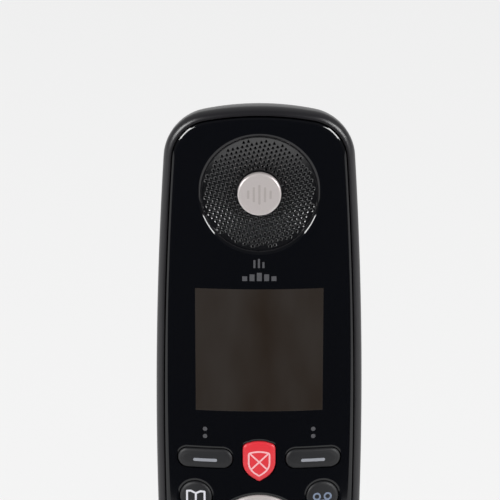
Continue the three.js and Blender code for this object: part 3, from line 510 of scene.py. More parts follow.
def soft_fall(width, fall, steps, start=(0.0, 0.0)):
    """A profile that leaves level and falls smoothly away."""
    shares = [step / steps for step in range(steps + 1)]
    return [(start[0] + width * s, start[1] - fall * (1 - math.cos(s * math.pi / 2))) for s in shares]


def open_up(bm, face):
    """Removes a face and gives back the loop of edges it leaves."""
    edges = list(face.edges)
    bmesh.ops.delete(bm, geom=[face], context="FACES_ONLY")
    return edges


def close_loops(bm):
    """Caps every open loop of a piece."""
    bmesh.ops.holes_fill(bm, edges=[edge for edge in bm.edges if edge.is_boundary], sides=0)


def slice_up(bm, axis, step):
    """Cuts a piece across one axis every so often, so that it can be bent."""
    places = [vertex.co[axis] for vertex in bm.verts]
    low, high = min(places), max(places)
    normal = Vector((axis == 0, axis == 1, axis == 2))
    for index in range(math.ceil(low / step + SLIVER), math.floor(high / step - SLIVER) + 1):
        everything = bm.verts[:] + bm.edges[:] + bm.faces[:]
        bmesh.ops.bisect_plane(bm, geom=everything, plane_co=normal * (index * step), plane_no=normal)


def sag(x):
    """How far the crowned face falls back at x."""
    crown = sizes("phone_handset").crown
    return crown - math.sqrt(crown**2 - x**2)


def lay_on_face(bm):
    """Bends a piece made flat over the face's crown and sets it in its place."""
    slice_up(bm, 0, CUT_ACROSS)
    slice_up(bm, 1, CUT_ALONG)
    for vertex in bm.verts:
        vertex.co.z -= sag(vertex.co.x)
    bm.transform(FACE)


def mark_sharp(bm, limit):
    """Shades every face smoothly and keeps the edges that turn sharply crisp."""
    for face in bm.faces:
        face.smooth = True
    for edge in bm.edges:
        edge.smooth = len(edge.link_faces) == 2 and edge.calc_face_angle(0.0) < limit


def piece(bm, name, material, body, stands_for=(), turn_out=True, sharp=SHARP):
    """Makes a finished bmesh an object that rides on a body and takes its finish from a slot."""
    bmesh.ops.remove_doubles(bm, verts=bm.verts, dist=MERGE / 4)
    if turn_out:
        bmesh.ops.recalc_face_normals(bm, faces=bm.faces)
    mark_sharp(bm, sharp)
    mesh = bpy.data.meshes.new(name)
    bm.to_mesh(mesh)
    bm.free()
    mesh.materials.append(material)
    made = bpy.data.objects.new(name, mesh)
    bpy.context.scene.collection.objects.link(made)
    weighted = made.modifiers.new("Even shading", "WEIGHTED_NORMAL")
    weighted.keep_sharp = True
    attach(made, body)
    if stands_for:
        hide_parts(*stands_for)
    return made


# ---------------------------------------------------------------- materials


def material_named(name):
    """An empty node material, its principled shader and its links."""
    made = bpy.data.materials.new(name)
    made.use_nodes = True
    shader = made.node_tree.nodes["Principled BSDF"]
    return made, shader, made.node_tree.nodes, made.node_tree.links


def object_noise(nodes, links, scale, detail=3.0, roughness=0.5):
    """Noise that is fixed to the piece."""
    place = nodes.new("ShaderNodeTexCoord")
    noise = nodes.new("ShaderNodeTexNoise")
    noise.inputs["Scale"].default_value = scale
    noise.inputs["Detail"].default_value = detail
    noise.inputs["Roughness"].default_value = roughness
    links.new(place.outputs["Object"], noise.inputs["Vector"])
    return noise


def spread(nodes, links, source, low, high):
    """Maps a value from 0..1 to low..high, and holds it there outside that range."""
    stretch = nodes.new("ShaderNodeMapRange")
    stretch.inputs["To Min"].default_value = low
    stretch.inputs["To Max"].default_value = high
    links.new(source, stretch.inputs["Value"])
    return stretch.outputs["Result"]


def two_tones(nodes, links, source, tones, places):
    """Turns a value into a colour between two tones, each reached at its place."""
    ramp = nodes.new("ShaderNodeValToRGB")
    for stop, tone, place in zip(ramp.color_ramp.elements, tones, places):
        stop.position = place
        stop.color = (*tone, 1)
    links.new(source, ramp.inputs["Fac"])
    return ramp.outputs["Color"]


def about(colour, share):
    """A colour a share darker, and the same colour a share lighter."""
    return [c * (1 - share) for c in colour], [min(1, c * (1 + share)) for c in colour]


def raised(nodes, links, shader, source, strength, depth):
    """Raises a fine texture on a surface, and gives back its node."""
    bump = nodes.new("ShaderNodeBump")
    bump.inputs["Strength"].default_value = strength
    bump.inputs["Distance"].default_value = depth
    links.new(source, bump.inputs["Height"])
    links.new(bump.outputs["Normal"], shader.inputs["Normal"])
    return bump


def uneven_gloss(nodes, links, shader, source, low, high):
    """Lets a surface's roughness wander between two values."""
    links.new(spread(nodes, links, source, low, high), shader.inputs["Roughness"])


def moulded(name, colour, rough=0.42, grain=0.012 * MM, grain_scale=5200.0, tone=0.12, edge=0.0):
    """Moulded plastic: a fine texture, a faint change of tone, uneven gloss and perhaps soft edges."""
    made, shader, nodes, links = material_named(name)
    fine = object_noise(nodes, links, grain_scale, 2.0)
    broad = object_noise(nodes, links, 55.0, 4.0, 0.6)
    bump = raised(nodes, links, shader, fine.outputs["Fac"], 0.35, grain)
    if edge:
        soften = nodes.new("ShaderNodeBevel")
        soften.samples = 6
        soften.inputs["Radius"].default_value = edge
        links.new(soften.outputs["Normal"], bump.inputs["Normal"])
    worn = two_tones(nodes, links, broad.outputs["Fac"], about(colour, tone), (0.3, 0.7))
    links.new(worn, shader.inputs["Base Color"])
    uneven_gloss(nodes, links, shader, broad.outputs["Fac"], rough - 0.06, rough + 0.06)
    return made


def polished(name, colour, rough=0.035, haze=0.03):
    """Polished black plastic: deep gloss, with a trace of handling in its roughness."""
    made, shader, nodes, links = material_named(name)
    smudge = object_noise(nodes, links, 90.0, 5.0, 0.65)
    shader.inputs["Base Color"].default_value = (*colour, 1)
    shader.inputs["IOR"].default_value = 1.49
    uneven_gloss(nodes, links, shader, smudge.outputs["Fac"], rough, rough + haze)
    ripple = object_noise(nodes, links, 260.0, 1.0)
    raised(nodes, links, shader, ripple.outputs["Fac"], 0.04, 0.01 * MM)
    return made


# The display's tones, as shares of the window's colour, which is the display's own dark tone lightened with
# a painted reflection of the display glass.
DISPLAY_DARK = (1.0, 0.85, 0.75)
DISPLAY_LIGHT = (1.5, 1.5, 1.55)


def display_glass(name, colour):
    """Dark glass over a blank display, with a faint upright unevenness of tone; its colour is lightened
    with a painted reflection of the display glass.
    """
    made, shader, nodes, links = material_named(name)
    place = nodes.new("ShaderNodeTexCoord")
    stretch = nodes.new("ShaderNodeMapping")
    stretch.inputs["Scale"].default_value = (70, 70, 14)
    haze = nodes.new("ShaderNodeTexNoise")
    haze.inputs["Scale"].default_value = 1.0
    haze.inputs["Detail"].default_value = 3.0
    links.new(place.outputs["Object"], stretch.inputs["Vector"])
    links.new(stretch.outputs["Vector"], haze.inputs["Vector"])
    dark = [part * share for part, share in zip(colour, DISPLAY_DARK)]
    light = [part * share for part, share in zip(colour, DISPLAY_LIGHT)]
    blank = two_tones(nodes, links, haze.outputs["Fac"], (dark, light), (0.3, 0.6))
    links.new(blank, shader.inputs["Base Color"])
    shader.inputs["Roughness"].default_value = 0.06
    return made


def satin_metal(name, colour, rough=0.34, metal=0.85, speck=0.05, shine=0.5):
    """Satin metal or metallic paint with a fine sparkle of tone."""
    made, shader, nodes, links = material_named(name)
    fleck = object_noise(nodes, links, 9000.0, 1.0)
    sparkle = two_tones(nodes, links, fleck.outputs["Fac"], about(colour, speck), (0.35, 0.65))
    links.new(sparkle, shader.inputs["Base Color"])
    shader.inputs["Metallic"].default_value = metal
    shader.inputs["Specular IOR Level"].default_value = shine
    uneven_gloss(nodes, links, shader, fleck.outputs["Fac"], rough - 0.05, rough + 0.05)
    return made


def ink(name, colour, rough=0.55):
    """Printed ink with a slightly uneven surface."""
    made, shader, nodes, links = material_named(name)
    uneven = object_noise(nodes, links, 3000.0, 2.0)
    shader.inputs["Base Color"].default_value = (*colour, 1)
    uneven_gloss(nodes, links, shader, uneven.outputs["Fac"], rough - 0.08, rough + 0.08)
    return made


# Each finish: how it is made, its name, its colour or the setting that holds it, and how it differs.
FINISHES = {
    "casing": (moulded, "Satin charcoal plastic", "casing", {"rough": 0.33}),
    "casing_back": (moulded, "Satin charcoal back", "casing", {"rough": 0.35, "edge": 0.35 * MM}),
    "fascia": (polished, "Gloss black fascia", "fascia", {}),
    "window": (display_glass, "Display glass", "window", {}),
    "key": (moulded, "Satin key plastic", "key", {"rough": 0.55, "grain": 0.008 * MM}),
    "block_key": (
        moulded,
        "Red key plastic",
        "block_key",
        {"rough": 0.4, "grain": 0.006 * MM, "tone": 0.05},
    ),
    "silver": (satin_metal, "Satin silver", "silver", {"metal": 0.4}),
    "grille": (
        satin_metal,
        "Black grille sheet",
        "grille",
        {"rough": 0.2, "metal": 0.0, "speck": 0.1, "shine": 1.0},
    ),
    "base": (
        moulded,
        "Satin black base plastic",
        "base",
        {"rough": 0.36, "grain": 0.02 * MM, "edge": 0.5 * MM},
    ),
    "inner": (moulded, "Dark inner plastic", (0.008, 0.008, 0.009), {"rough": 0.6}),
    "rubber": (
        moulded,
        "Foot rubber",
        (0.012, 0.012, 0.012),
        {"rough": 0.85, "grain": 0.03 * MM, "edge": 0.3 * MM},
    ),
    "circuit": (moulded, "Circuit board", (0.012, 0.10, 0.04), {"rough": 0.45, "grain": 0.02 * MM}),
    "brass": (satin_metal, "Plated contact", (0.60, 0.46, 0.22), {"rough": 0.25, "metal": 1.0}),
    "steel": (satin_metal, "Plated steel", (0.52, 0.53, 0.55), {"rough": 0.28, "metal": 1.0}),
    "silicone": (moulded, "Grey silicone", (0.26, 0.27, 0.28), {"rough": 0.7}),
    "foam": (
        moulded,
        "Black foam",
        (0.006, 0.006, 0.006),
        {"rough": 0.95, "grain": 0.2 * MM, "grain_scale": 2200.0},
    ),
    "cell": (moulded, "Battery sleeve", (0.05, 0.20, 0.08), {"rough": 0.35, "grain": 0.005 * MM}),
    "lens": (polished, "Light pipe", (0.55, 0.60, 0.56), {"rough": 0.08}),
    "button": (moulded, "Button plastic", (0.05, 0.05, 0.055), {"rough": 0.4, "edge": 0.4 * MM}),
    "jack": (moulded, "Socket plastic", (0.02, 0.02, 0.02), {"rough": 0.5, "edge": 0.2 * MM}),
    "badge_mark": (satin_metal, "Badge mark", (0.50, 0.455, 0.44), {"rough": 0.4, "metal": 0.4}),
    "print_grey": (ink, "Grey print", (0.06, 0.06, 0.067), {}),
    "print_white": (ink, "White print", (0.62, 0.62, 0.66), {}),
    "print_blue": (ink, "Blue-grey print", (0.16, 0.20, 0.28), {}),
    "print_pink": (ink, "Pale pink print", (0.80, 0.42, 0.44), {}),
    "print_green": (ink, "Green print", (0.03, 0.40, 0.10), {}),
    "print_red": (ink, "Red print", (0.60, 0.03, 0.03), {}),
    "print_dark": (ink, "Dark print", (0.05, 0.05, 0.055), {}),
    "print_light": (ink, "Light print", (0.26, 0.27, 0.30), {}),
}


MADE = {}


def finish(name):
    """A finish of the phone, made the first time that it is asked for."""
    if name not in MADE:
        make, label, colour, options = FINISHES[name]
        if isinstance(colour, str):
            colour = getattr(sizes("phone_colours"), colour)
        MADE[name] = make(label, colour, **options)
    return MADE[name]


# ---------------------------------------------------------------- prints


def drape(bm, surface, lift, thickness=0.05 * MM, pitch=0.6 * MM):
    """Lays flat print shapes over a surface, lifted a little, and gives them thickness."""
    slice_up(bm, 0, pitch)
    slice_up(bm, 1, pitch)
    for vertex in bm.verts:
        hit = surface.ray_cast(Vector((vertex.co.x, vertex.co.y, FAR_ABOVE)), Vector((0, 0, -1)))[0]
        if hit is None:
            raise RuntimeError("a print reaches past the surface that it lies on")
        vertex.co.z = hit.z + lift
    for face in bm.faces:
        face.normal_update()
        if face.normal.z < 0:
            face.normal_flip()
    made = bmesh.ops.extrude_face_region(bm, geom=bm.faces[:])["geom"]
    lower = [item for item in made if isinstance(item, bmesh.types.BMVert)]
    bmesh.ops.translate(bm, verts=lower, vec=(0, 0, -thickness))


def bar(bm, start, end, width):
    """A straight printed stroke with round ends, from one point to another."""
    span = Vector(end) - Vector(start)
    middle = (Vector(end) + Vector(start)) / 2
    face = pill_face(bm, span.length + width, width, segments=16)
    turn = Matrix.Translation((middle.x, middle.y, 0)) @ Matrix.Rotation(math.atan2(span.y, span.x), 4, "Z")
    bmesh.ops.transform(bm, matrix=turn, verts=face.verts)


def band(bm, middle, radius, width, begin=0.0, turn=TAU, steps=32):
    """A printed arc or ring: a short stroke spun about a centre."""
    ends = []
    for reach in (radius - width / 2, radius + width / 2):
        place = (middle[0] + reach * math.cos(begin), middle[1] + reach * math.sin(begin), 0)
        ends.append(bm.verts.new(place))
    bmesh.ops.spin(
        bm,
        geom=ends + [bm.edges.new(ends)],
        cent=(middle[0], middle[1], 0),
        axis=(0, 0, 1),
        angle=turn,
        steps=steps,
        use_merge=turn == TAU,
    )


def outline_stroke(bm, points, width):
    """A printed stroke just inside a closed outline."""
    face = polygon_face(bm, points)
    bmesh.ops.inset_region(bm, faces=[face], thickness=width, use_even_offset=True, use_boundary=True)
    bmesh.ops.delete(bm, geom=[face], context="FACES")


def lettering(bm, text, height, middle):
    """Plain built-in lettering, centred on a point."""
    curve = bpy.data.curves.new("lettering", "FONT")
    curve.body = text
    curve.size = height / CAPITAL
    curve.align_x = "CENTER"
    curve.resolution_u = 6
    holder = bpy.data.objects.new("lettering", curve)
    bpy.context.scene.collection.objects.link(holder)
    depsgraph = bpy.context.evaluated_depsgraph_get()
    mesh = bpy.data.meshes.new_from_object(holder.evaluated_get(depsgraph))
    bpy.data.objects.remove(holder)
    bpy.data.curves.remove(curve)
    lows = [vertex.co.y for vertex in mesh.vertices]
    centre = (min(lows) + max(lows)) / 2
    mesh.transform(Matrix.Translation((middle[0], middle[1] - centre, 0)))
    bm.from_mesh(mesh)
    bpy.data.meshes.remove(mesh)
    bmesh.ops.remove_doubles(bm, verts=bm.verts, dist=MERGE)


# ---------------------------------------------------------------- the casing


def squeeze(bm):
    """Fits a casing made flat to the crown: full sag at the face, none at the parting plane."""
    for vertex in bm.verts:
        share = max(0.0, (FRONT_DEPTH + vertex.co.z) / FRONT_DEPTH)
        vertex.co.z -= sag(vertex.co.x) * share
    bm.transform(FACE)


# The lip that the fascia drops into: how far in from the rim's crest and how far below it, in millimetres.
LIP = ((0.10, 0.03), (0.18, 0.12), (0.22, 0.28), (0.22, 1.9), (1.5, 1.9))


def front_casing():
    """The charcoal frame round the fascia, with its rounded rim and the lip that the fascia drops into."""
    form = sizes("phone_handset")
    outline = handset_outline()
    bm = bmesh.new()
    widest = -form.rim_round
    rim = quarter_round(form.rim, form.rim_round - form.rim_dip, 9)
    crest = rim[-1]
    lip = [(crest[0] + inset * MM, crest[1] - fall * MM) for inset, fall in LIP]
    lip.append((lip[-1][0], -FRONT_DEPTH + form.rim_round))
    open_up(bm, follow(bm, bowed_face(bm, outline, height=widest), rim + lip))
    # The sides narrow a little towards the parting plane, as the start of the back's rounding.
    depth = form.back_depth + FRONT_DEPTH - form.rim_round
    side = []
    steps = 4
    for step in range(steps + 1):
        back = (FRONT_DEPTH - form.rim_round) * step / steps
        side.append((form.back_inset * (1 - math.sqrt(1 - (back / depth) ** 2)), back))
    below = bowed_face(bm, outline, height=widest)
    below.normal_flip()
    open_up(bm, follow(bm, below, side))
    bmesh.ops.remove_doubles(bm, verts=bm.verts, dist=MERGE)
    bmesh.ops.bridge_loops(bm, edges=[edge for edge in bm.edges if edge.is_boundary])
    slice_up(bm, 0, CASING_CUT)
    squeeze(bm)
    piece(bm, "front_casing", finish("casing"), "handset", ["handset_front_casing"])


# ---------------------------------------------------------------- the keys


DIGIT_KEYS = [f"key_{name}" for name in "1 2 3 4 5 6 7 8 9 star 0 hash".split()]
PILL_KEYS = ["soft_key_left", "soft_key_right"] + DIGIT_KEYS
ROUND_KEYS = ["phonebook_key", "voicemail_key", "talk_key", "end_key"]


def cap_size(node):
    """Width and height of a key's cap, without its hidden flange."""
    low, high = face_box(node)
    flange = sizes("phone_keys").flange
    return high.x - low.x - 2 * flange, high.y - low.y - 2 * flange


def key_face(bm, node, grow=0.0, height=0.0):
    """A flat face with a key's outline, grown all round."""
    middle = face_middle(node)
    width, tall = cap_size(node)
    if node in ROUND_KEYS:
        return disc_face(bm, width / 2 + grow, middle, height, 40)
    if node == "call_block_key":
        keys = sizes("phone_keys")
        low, high = middle[1] - tall / 2, middle[1] + tall / 2
        corner = keys.shield_corner + grow
        points = shield_points(
            width / 2 + grow, high + grow, low - grow, keys.shield_rise, corner, keys.shield_shoulder
        )
        return polygon_face(bm, points, height)
    return pill_face(bm, width + 2 * grow, tall + 2 * grow, middle, height)


def key_cap(node, dome_width, colour="key"):
    """A key: straight walls, a rounded edge and a domed top. Gives back its flat surface for prints."""
    keys = sizes("phone_keys")
    bm = bmesh.new()
    bottom = -sizes("phone_handset").fascia_thickness
    top = keys.proud - keys.dome
    wall = [(0.0, 0.0), (0.0, top - keys.round_height - bottom)]
    edge = quarter_round(keys.round_width, keys.round_height, 6, wall[-1])
    dome = quarter_round(dome_width, keys.dome, 3, edge[-1])
    profile = wall + edge[1:] + dome[1:]
    if node == "call_block_key":
        follow_scaled(bm, key_face(bm, node, height=bottom), cap_size(node)[0] / 2, profile)
    else:
        follow(bm, key_face(bm, node, height=bottom), profile)
    close_loops(bm)
    surface = BVHTree.FromBMesh(bm)
    lay_on_face(bm)
    piece(bm, f"{node}_cap", finish(colour), node, [node])
    return surface


def print_on(surface, name, colour, body, draw, bent=True):
    """Lays a printed symbol on a surface, before the surface is bent over the crown."""
    bm = bmesh.new()
    draw(bm)
    drape(bm, surface, sizes("phone_keys").print_lift)
    if bent:
        for vertex in bm.verts:
            vertex.co.z -= sag(vertex.co.x)
    bm.transform(FACE)
    piece(bm, name, finish(colour), body, turn_out=False)


def flat_surface():
    """The fascia's plain surface, for prints on it."""
    bm = bmesh.new()
    bmesh.ops.create_grid(bm, x_segments=1, y_segments=1, size=1.0)
    return BVHTree.FromBMesh(bm)


# ---------------------------------------------------------------- the fascia


# The earpiece's ring: shares of its width and its depth at the end of its soft edge, then down its wall.
RING_LEAD = (0.45, 0.22)
RING_WALL = ((0.7, 0.5), (0.88, 0.78), (1.0, 1.0))
PIN_EDGE = (0.2 * MM, 0.1 * MM)  # width and depth of the microphone hole's edge


def fascia_dishes():
    """Every opening in the fascia: its outline, and the profile of the dish that leads down to it."""
    keys = sizes("phone_keys")
    ear = sizes("phone_earpiece")
    fall = [(0.0, 0.0)] + soft_fall(keys.dish_width, keys.dish_depth, 4, (keys.dish_margin, 0.0))
    reach = keys.gap + keys.dish_width + keys.dish_margin
    dishes = []
    for node in PILL_KEYS + ROUND_KEYS + ["call_block_key"]:
        dishes.append((lambda bm, node=node: key_face(bm, node, reach), fall))
    middle, radius = rocker_circle()
    dishes.append((lambda bm: disc_face(bm, radius + reach, middle, 0.0, 96), fall))
    slope = ear.ring_radius - ear.grille_radius
    lead, drop = RING_LEAD
    ring = [(0.0, 0.0)] + soft_fall(slope * lead, ear.ring_depth * drop, 4, (ear.ring_margin, 0.0))
    ring += [(ear.ring_margin + slope * share, -ear.ring_depth * fallen) for share, fallen in RING_WALL]
    round_ear = ear.ring_radius + ear.ring_margin
    dishes.append((lambda bm: disc_face(bm, round_ear, face_middle("earpiece_disc"), 0.0, 128), ring))
    pin = sizes("phone_handset").microphone_hole
    pin_edge = soft_fall(*PIN_EDGE, 2)
    dishes.append((lambda bm: disc_face(bm, pin, face_middle("microphone"), 0.0, 20), pin_edge))
    return dishes


def fascia():
    """The one-piece gloss fascia, with a rounded edge and a shallow dish round every key."""
    form = sizes("phone_handset")
    bm = bmesh.new()
    rounded = eased_edge(form.fascia_round, form.fascia_slope, 8)
    edge = bowed_face(bm, handset_outline(), inset=form.fascia_inset, height=-rounded[-1][1])
    rounded.append((rounded[-1][0] + form.fascia_land, rounded[-1][1]))
    open_up(bm, follow(bm, edge, rounded))
    for draw, profile in fascia_dishes():
        open_up(bm, follow(bm, draw(bm), profile))
    # Everything still open at the level of the face is filled with one sheet.
    level = [e for e in bm.edges if e.is_boundary or e.is_wire]
    sheet = [e for e in level if all(abs(v.co.z) < MERGE for v in e.verts)]
    bmesh.ops.triangle_fill(bm, use_beauty=True, use_dissolve=True, edges=sheet)
    lower = [e for e in bm.edges if e.is_boundary]
    made = bmesh.ops.extrude_edge_only(bm, edges=lower)["geom"]
    floor = [item for item in made if isinstance(item, bmesh.types.BMVert)]
    for vertex in floor:
        vertex.co.z = -form.fascia_thickness - form.fascia_skirt
    back = set(floor)
    loops = [e for e in bm.edges if e.verts[0] in back and e.verts[1] in back]
    bmesh.ops.triangle_fill(bm, use_beauty=True, use_dissolve=True, edges=loops)
    lay_on_face(bm)
    piece(bm, "gloss_fascia", finish("fascia"), "handset", ["fascia"])


def rocker_circle():
    """Middle and radius of the navigation rocker's cap."""
    low, high = face_box("navigation_rocker")
    return face_middle("navigation_rocker"), (high.x - low.x) / 2 - sizes("phone_navigation").flange


# ---------------------------------------------------------------- the face's glass, prints and earpiece


def from_top(drop):
    """A height on the face, counted down from the handset's upper end."""
    return LENGTH - drop


def rectangle_face(bm, low, high, height=0.0):
    """A flat face between two corners."""
    corners = [(low[0], low[1]), (high[0], low[1]), (high[0], high[1]), (low[0], high[1])]
    return polygon_face(bm, corners, height)


def display_window():
    """The display's window, set flush in the fascia."""
    show = sizes("phone_display")
    bm = bmesh.new()
    low = (-show.half_width, from_top(show.drop + show.tall))
    high = (show.half_width, from_top(show.drop))
    profile = [(0.0, -show.seat), (0.0, show.lift / 2), (show.lift, show.lift)]
    follow(bm, rectangle_face(bm, low, high, -show.seat), profile)
    close_loops(bm)
    lay_on_face(bm)
    piece(bm, "display_window", finish("window"), "handset")


# The sound sign's two rows of blocks: left, right, low and high, in millimetres from the middle of its top.
SIGN_BLOCKS = [(-1.45, -0.95, -2.3, -0.3), (-0.35, 0.15, -2.3, 0.0), (0.75, 1.25, -2.3, -0.8)]
SIGN_BLOCKS += [
    (x - 0.6, x + 0.6, -5.6, -5.6 + rise)
    for x, rise in zip((-3.56, -1.78, 0.0, 1.78, 3.56), (1.2, 1.7, 2.1, 1.7, 1.2))
]


def face_prints():
    """The small grey symbols printed on the fascia."""
    show = sizes("phone_display")
    plain = flat_surface()
    soft_x = face_middle("soft_key_right")[0]

    def sound_sign(bm):
        top = from_top(show.sign_drop)
        for left, right, low, high in SIGN_BLOCKS:
            rectangle_face(bm, (left * MM, top + low * MM), (right * MM, top + high * MM))

    def dots(bm):
        for sign in (-1, 1):
            for drop in (show.dot_drop, show.dot_drop + show.dot_pitch):
                disc_face(bm, show.dot_radius, (sign * soft_x, from_top(drop)), segments=20)

    print_on(plain, "sound_sign", "print_grey", "handset", sound_sign)
    print_on(plain, "soft_key_dots", "print_grey", "handset", dots)


def bowl(radius):
    """Height of the grille's sheet at a distance from its middle."""
    ear = sizes("phone_earpiece")
    return -ear.ring_depth - ear.bowl_depth * (1 - (radius / ear.grille_radius) ** 2)


def grille_holes():
    """The places of the grille's holes, in a turned hexagonal pattern."""
    ear = sizes("phone_earpiece")
    pitch = ear.hole_pitch
    turn = ear.pattern_turn
    reach = int(ear.grille_radius / pitch) + 2
    holes = []
    for row in range(-reach, reach + 1):
        for column in range(-reach, reach + 1):
            x = (column + (row % 2) / 2) * pitch
            y = row * pitch * math.sqrt(3) / 2
            x, y = x * math.cos(turn) - y * math.sin(turn), x * math.sin(turn) + y * math.cos(turn)
            if ear.badge_radius + ear.hole_margin < math.hypot(x, y) < ear.grille_radius - ear.hole_margin:
                holes.append((x, y))
    return holes


def earpiece_grille():
    """The perforated sheet of the earpiece, pressed into a shallow bowl round the badge."""
    ear = sizes("phone_earpiece")
    middle = face_middle("earpiece_disc")
    bm = bmesh.new()
    bmesh.ops.create_circle(bm, segments=128, radius=ear.grille_radius + ear.sheet_reach)
    bmesh.ops.create_circle(bm, segments=64, radius=ear.badge_radius - ear.badge_lap)
    chamfer = ear.hole_chamfer
    for hole in grille_holes():
        rim = disc_face(bm, ear.hole_radius + chamfer, hole, 0.0, ear.hole_sides, math.pi / ear.hole_sides)
        open_up(bm, step_in(bm, rim, chamfer, -ear.chamfer_fall))
    level = [e for e in bm.edges if len(e.link_faces) < 2 and all(abs(v.co.z) < MERGE for v in e.verts)]
    bmesh.ops.triangle_fill(bm, use_beauty=True, use_dissolve=False, edges=level)
    bmesh.ops.recalc_face_normals(bm, faces=bm.faces)
    made = bmesh.ops.extrude_face_region(bm, geom=bm.faces[:])["geom"]
    lower = [item for item in made if isinstance(item, bmesh.types.BMVert)]
    bmesh.ops.translate(bm, verts=lower, vec=(0, 0, -ear.sheet))
    for vertex in bm.verts:
        vertex.co.z += bowl(math.hypot(vertex.co.x, vertex.co.y))
        vertex.co.x += middle[0]
        vertex.co.y += middle[1]
        vertex.co.z -= sag(vertex.co.x)
    bm.transform(FACE)
    piece(
        bm,
        "perforated_grille",
        finish("grille"),
        "handset",
        ["earpiece_grille"],
        sharp=GRILLE_SHARP,
    )


def spun(profile, steps=96, middle=(0, 0)):
    """A solid turned about the face's normal, from a closed or axis-to-axis profile of (radius, height)."""
    bm = bmesh.new()
    made = [bm.verts.new((radius, 0, height)) for radius, height in profile]
    closed = profile[0][0] > 0
    pairs = list(zip(made, made[1:])) + ([(made[-1], made[0])] if closed else [])
    edges = [bm.edges.new(pair) for pair in pairs]
    bmesh.ops.spin(
        bm, geom=made + edges, cent=(0, 0, 0), axis=(0, 0, 1), angle=TAU, steps=steps, use_merge=True
    )
    bmesh.ops.remove_doubles(bm, verts=bm.verts, dist=MERGE)
    bmesh.ops.translate(bm, verts=bm.verts, vec=(middle[0], middle[1], 0))
    return bm


# The badge's sound bars: each one's place across and half its height, in millimetres.
BADGE_BARS = ((-2.7, 0.8), (-1.35, 1.6), (0.0, 2.2), (1.35, 1.6), (2.7, 0.8))


def earpiece_badge():
    """The satin silver disc in the middle of the grille, with a rounded edge and faint sound bars."""
    ear = sizes("phone_earpiece")
    middle = face_middle("earpiece_disc")
    top = face_box("earpiece_disc")[1].z
    low = top - ear.badge_height
    edge = quarter_round(ear.badge_edge, ear.badge_round, 5)
    profile = [(0.0, low), (ear.badge_radius, low)]
    profile += [(ear.badge_radius - inset, top - ear.badge_round + rise) for inset, rise in edge]
    profile += [(ear.badge_radius - ear.badge_edge - ear.badge_land, top - ear.badge_dip), (0.0, top)]
    bm = spun(profile, 96, middle)
    surface = BVHTree.FromBMesh(bm)
    bm.transform(FACE)
    piece(bm, "earpiece_badge", finish("silver"), "handset", ["earpiece_disc"])

    def bars(bm):
        place = at("earpiece_disc")
        for x, reach in BADGE_BARS:
            bar(bm, place(x, -reach), place(x, reach), 0.55 * MM)

    print_on(surface, "badge_bars", "badge_mark", "handset", bars, bent=False)


# ---------------------------------------------------------------- the keys' symbols


def at(node):
    """Places a point counted in millimetres from a key's middle."""
    middle = face_middle(node)
    return lambda x, y: (middle[0] + x * MM, middle[1] + y * MM)


def strokes(bm, node, lines, width, sign=1):
    """Straight strokes, each from one point to another, mirrored if the sign is -1."""
    place = at(node)
    for left, low, right, high in lines:
        bar(bm, place(sign * left, low), place(sign * right, high), width)


def draw_dash(bm, node):
    """A short dash."""
    strokes(bm, node, [(-2.6, -0.3, 2.6, -0.3)], 0.8 * MM)


SHIELD_CROSS = ((-1.95, -2.0, 2.05, 1.9), (-2.05, 1.9, -0.21, 0.14), (0.27, -0.3, 1.95, -2.0))


def draw_shield(bm, node):
    """A shield in outline with a cross inside it, whose second stroke leaves a gap at the first."""
    place = at(node)
    thin = 0.42 * MM
    low, high = place(0, -3.9)[1], place(0, 2.9)[1]
    outline_stroke(bm, shield_points(2.8 * MM, high, low, 0.5 * MM, 0.7 * MM, 0.45), thin)
    strokes(bm, node, SHIELD_CROSS, thin)


BOOK_LEAF = (
    (2.2, -1.35, 2.2, 1.5),
    (0.28, 1.15, 1.2, 1.6),
    (1.2, 1.6, 2.2, 1.5),
    (0.28, -1.7, 1.2, -1.25),
    (1.2, -1.25, 2.2, -1.35),
)
BOOK_SPINE = ((0, -1.75, 0, 1.1),)


def draw_book(bm, node):
    """An open book."""
    thin = 0.5 * MM
    for sign in (-1, 1):
        strokes(bm, node, BOOK_LEAF, thin, sign)
    strokes(bm, node, BOOK_SPINE, thin)


def draw_tape(bm, node):
    """Two reels on a line of tape."""
    place = at(node)
    reel = 1.35
    for sign in (-1, 1):
        band(bm, place(sign * reel, 0.15), 0.8 * MM, 0.45 * MM)
    strokes(bm, node, [(-reel, -0.95, reel, -0.95)], 0.42 * MM)


def draw_handset(bm, node, turn):
    """A telephone handset seen from the side: a bowed grip with two ends, turned about the key's middle."""
    middle = face_middle(node)
    band(bm, at(node)(0, -1.0), 2.0 * MM, 0.75 * MM, math.radians(35), math.radians(110), 14)
    for sign in (-1, 1):
        strokes(bm, node, [(1.75, -0.55, 1.75, 0.15)], 1.0 * MM, sign)
    matrix = Matrix.Rotation(turn, 3, "Z")
    bmesh.ops.rotate(bm, verts=bm.verts, cent=(middle[0], middle[1], 0), matrix=matrix)


LETTERS = {"2": "abc", "3": "def", "4": "ghi", "5": "jkl", "6": "mno", "7": "pqrs", "8": "tuv", "9": "wxyz"}
SIGNS = {"star": ("*", 1.6), "hash": ("#", 2.5)}  # and their heights in millimetres


def draw_digit(bm, node):
    """A key's digit or sign, with the small letters beside it."""
    mark = node.split("_")[1]
    place = at(node)
    letters = LETTERS.get(mark)
    sign, tall = SIGNS.get(mark, (mark, 2.5))
    lettering(bm, sign, tall * MM, place(-1.4 if letters else 0, 0))
    if letters:
        lettering(bm, letters, 1.05 * MM, place(1.7, 0))


ARROW = ((-0.9, -0.5), (0.9, -0.5), (0.0, 0.6))  # a triangle that points up, in units of its size


def arrow(bm, middle, turn, size):
    """A small printed triangle, turned to point the way that it stands for."""
    cos, sin = math.cos(turn), math.sin(turn)
    points = []
    for x, y in ARROW:
        points.append((middle[0] + size * (x * cos - y * sin), middle[1] + size * (x * sin + y * cos)))
    polygon_face(bm, points)


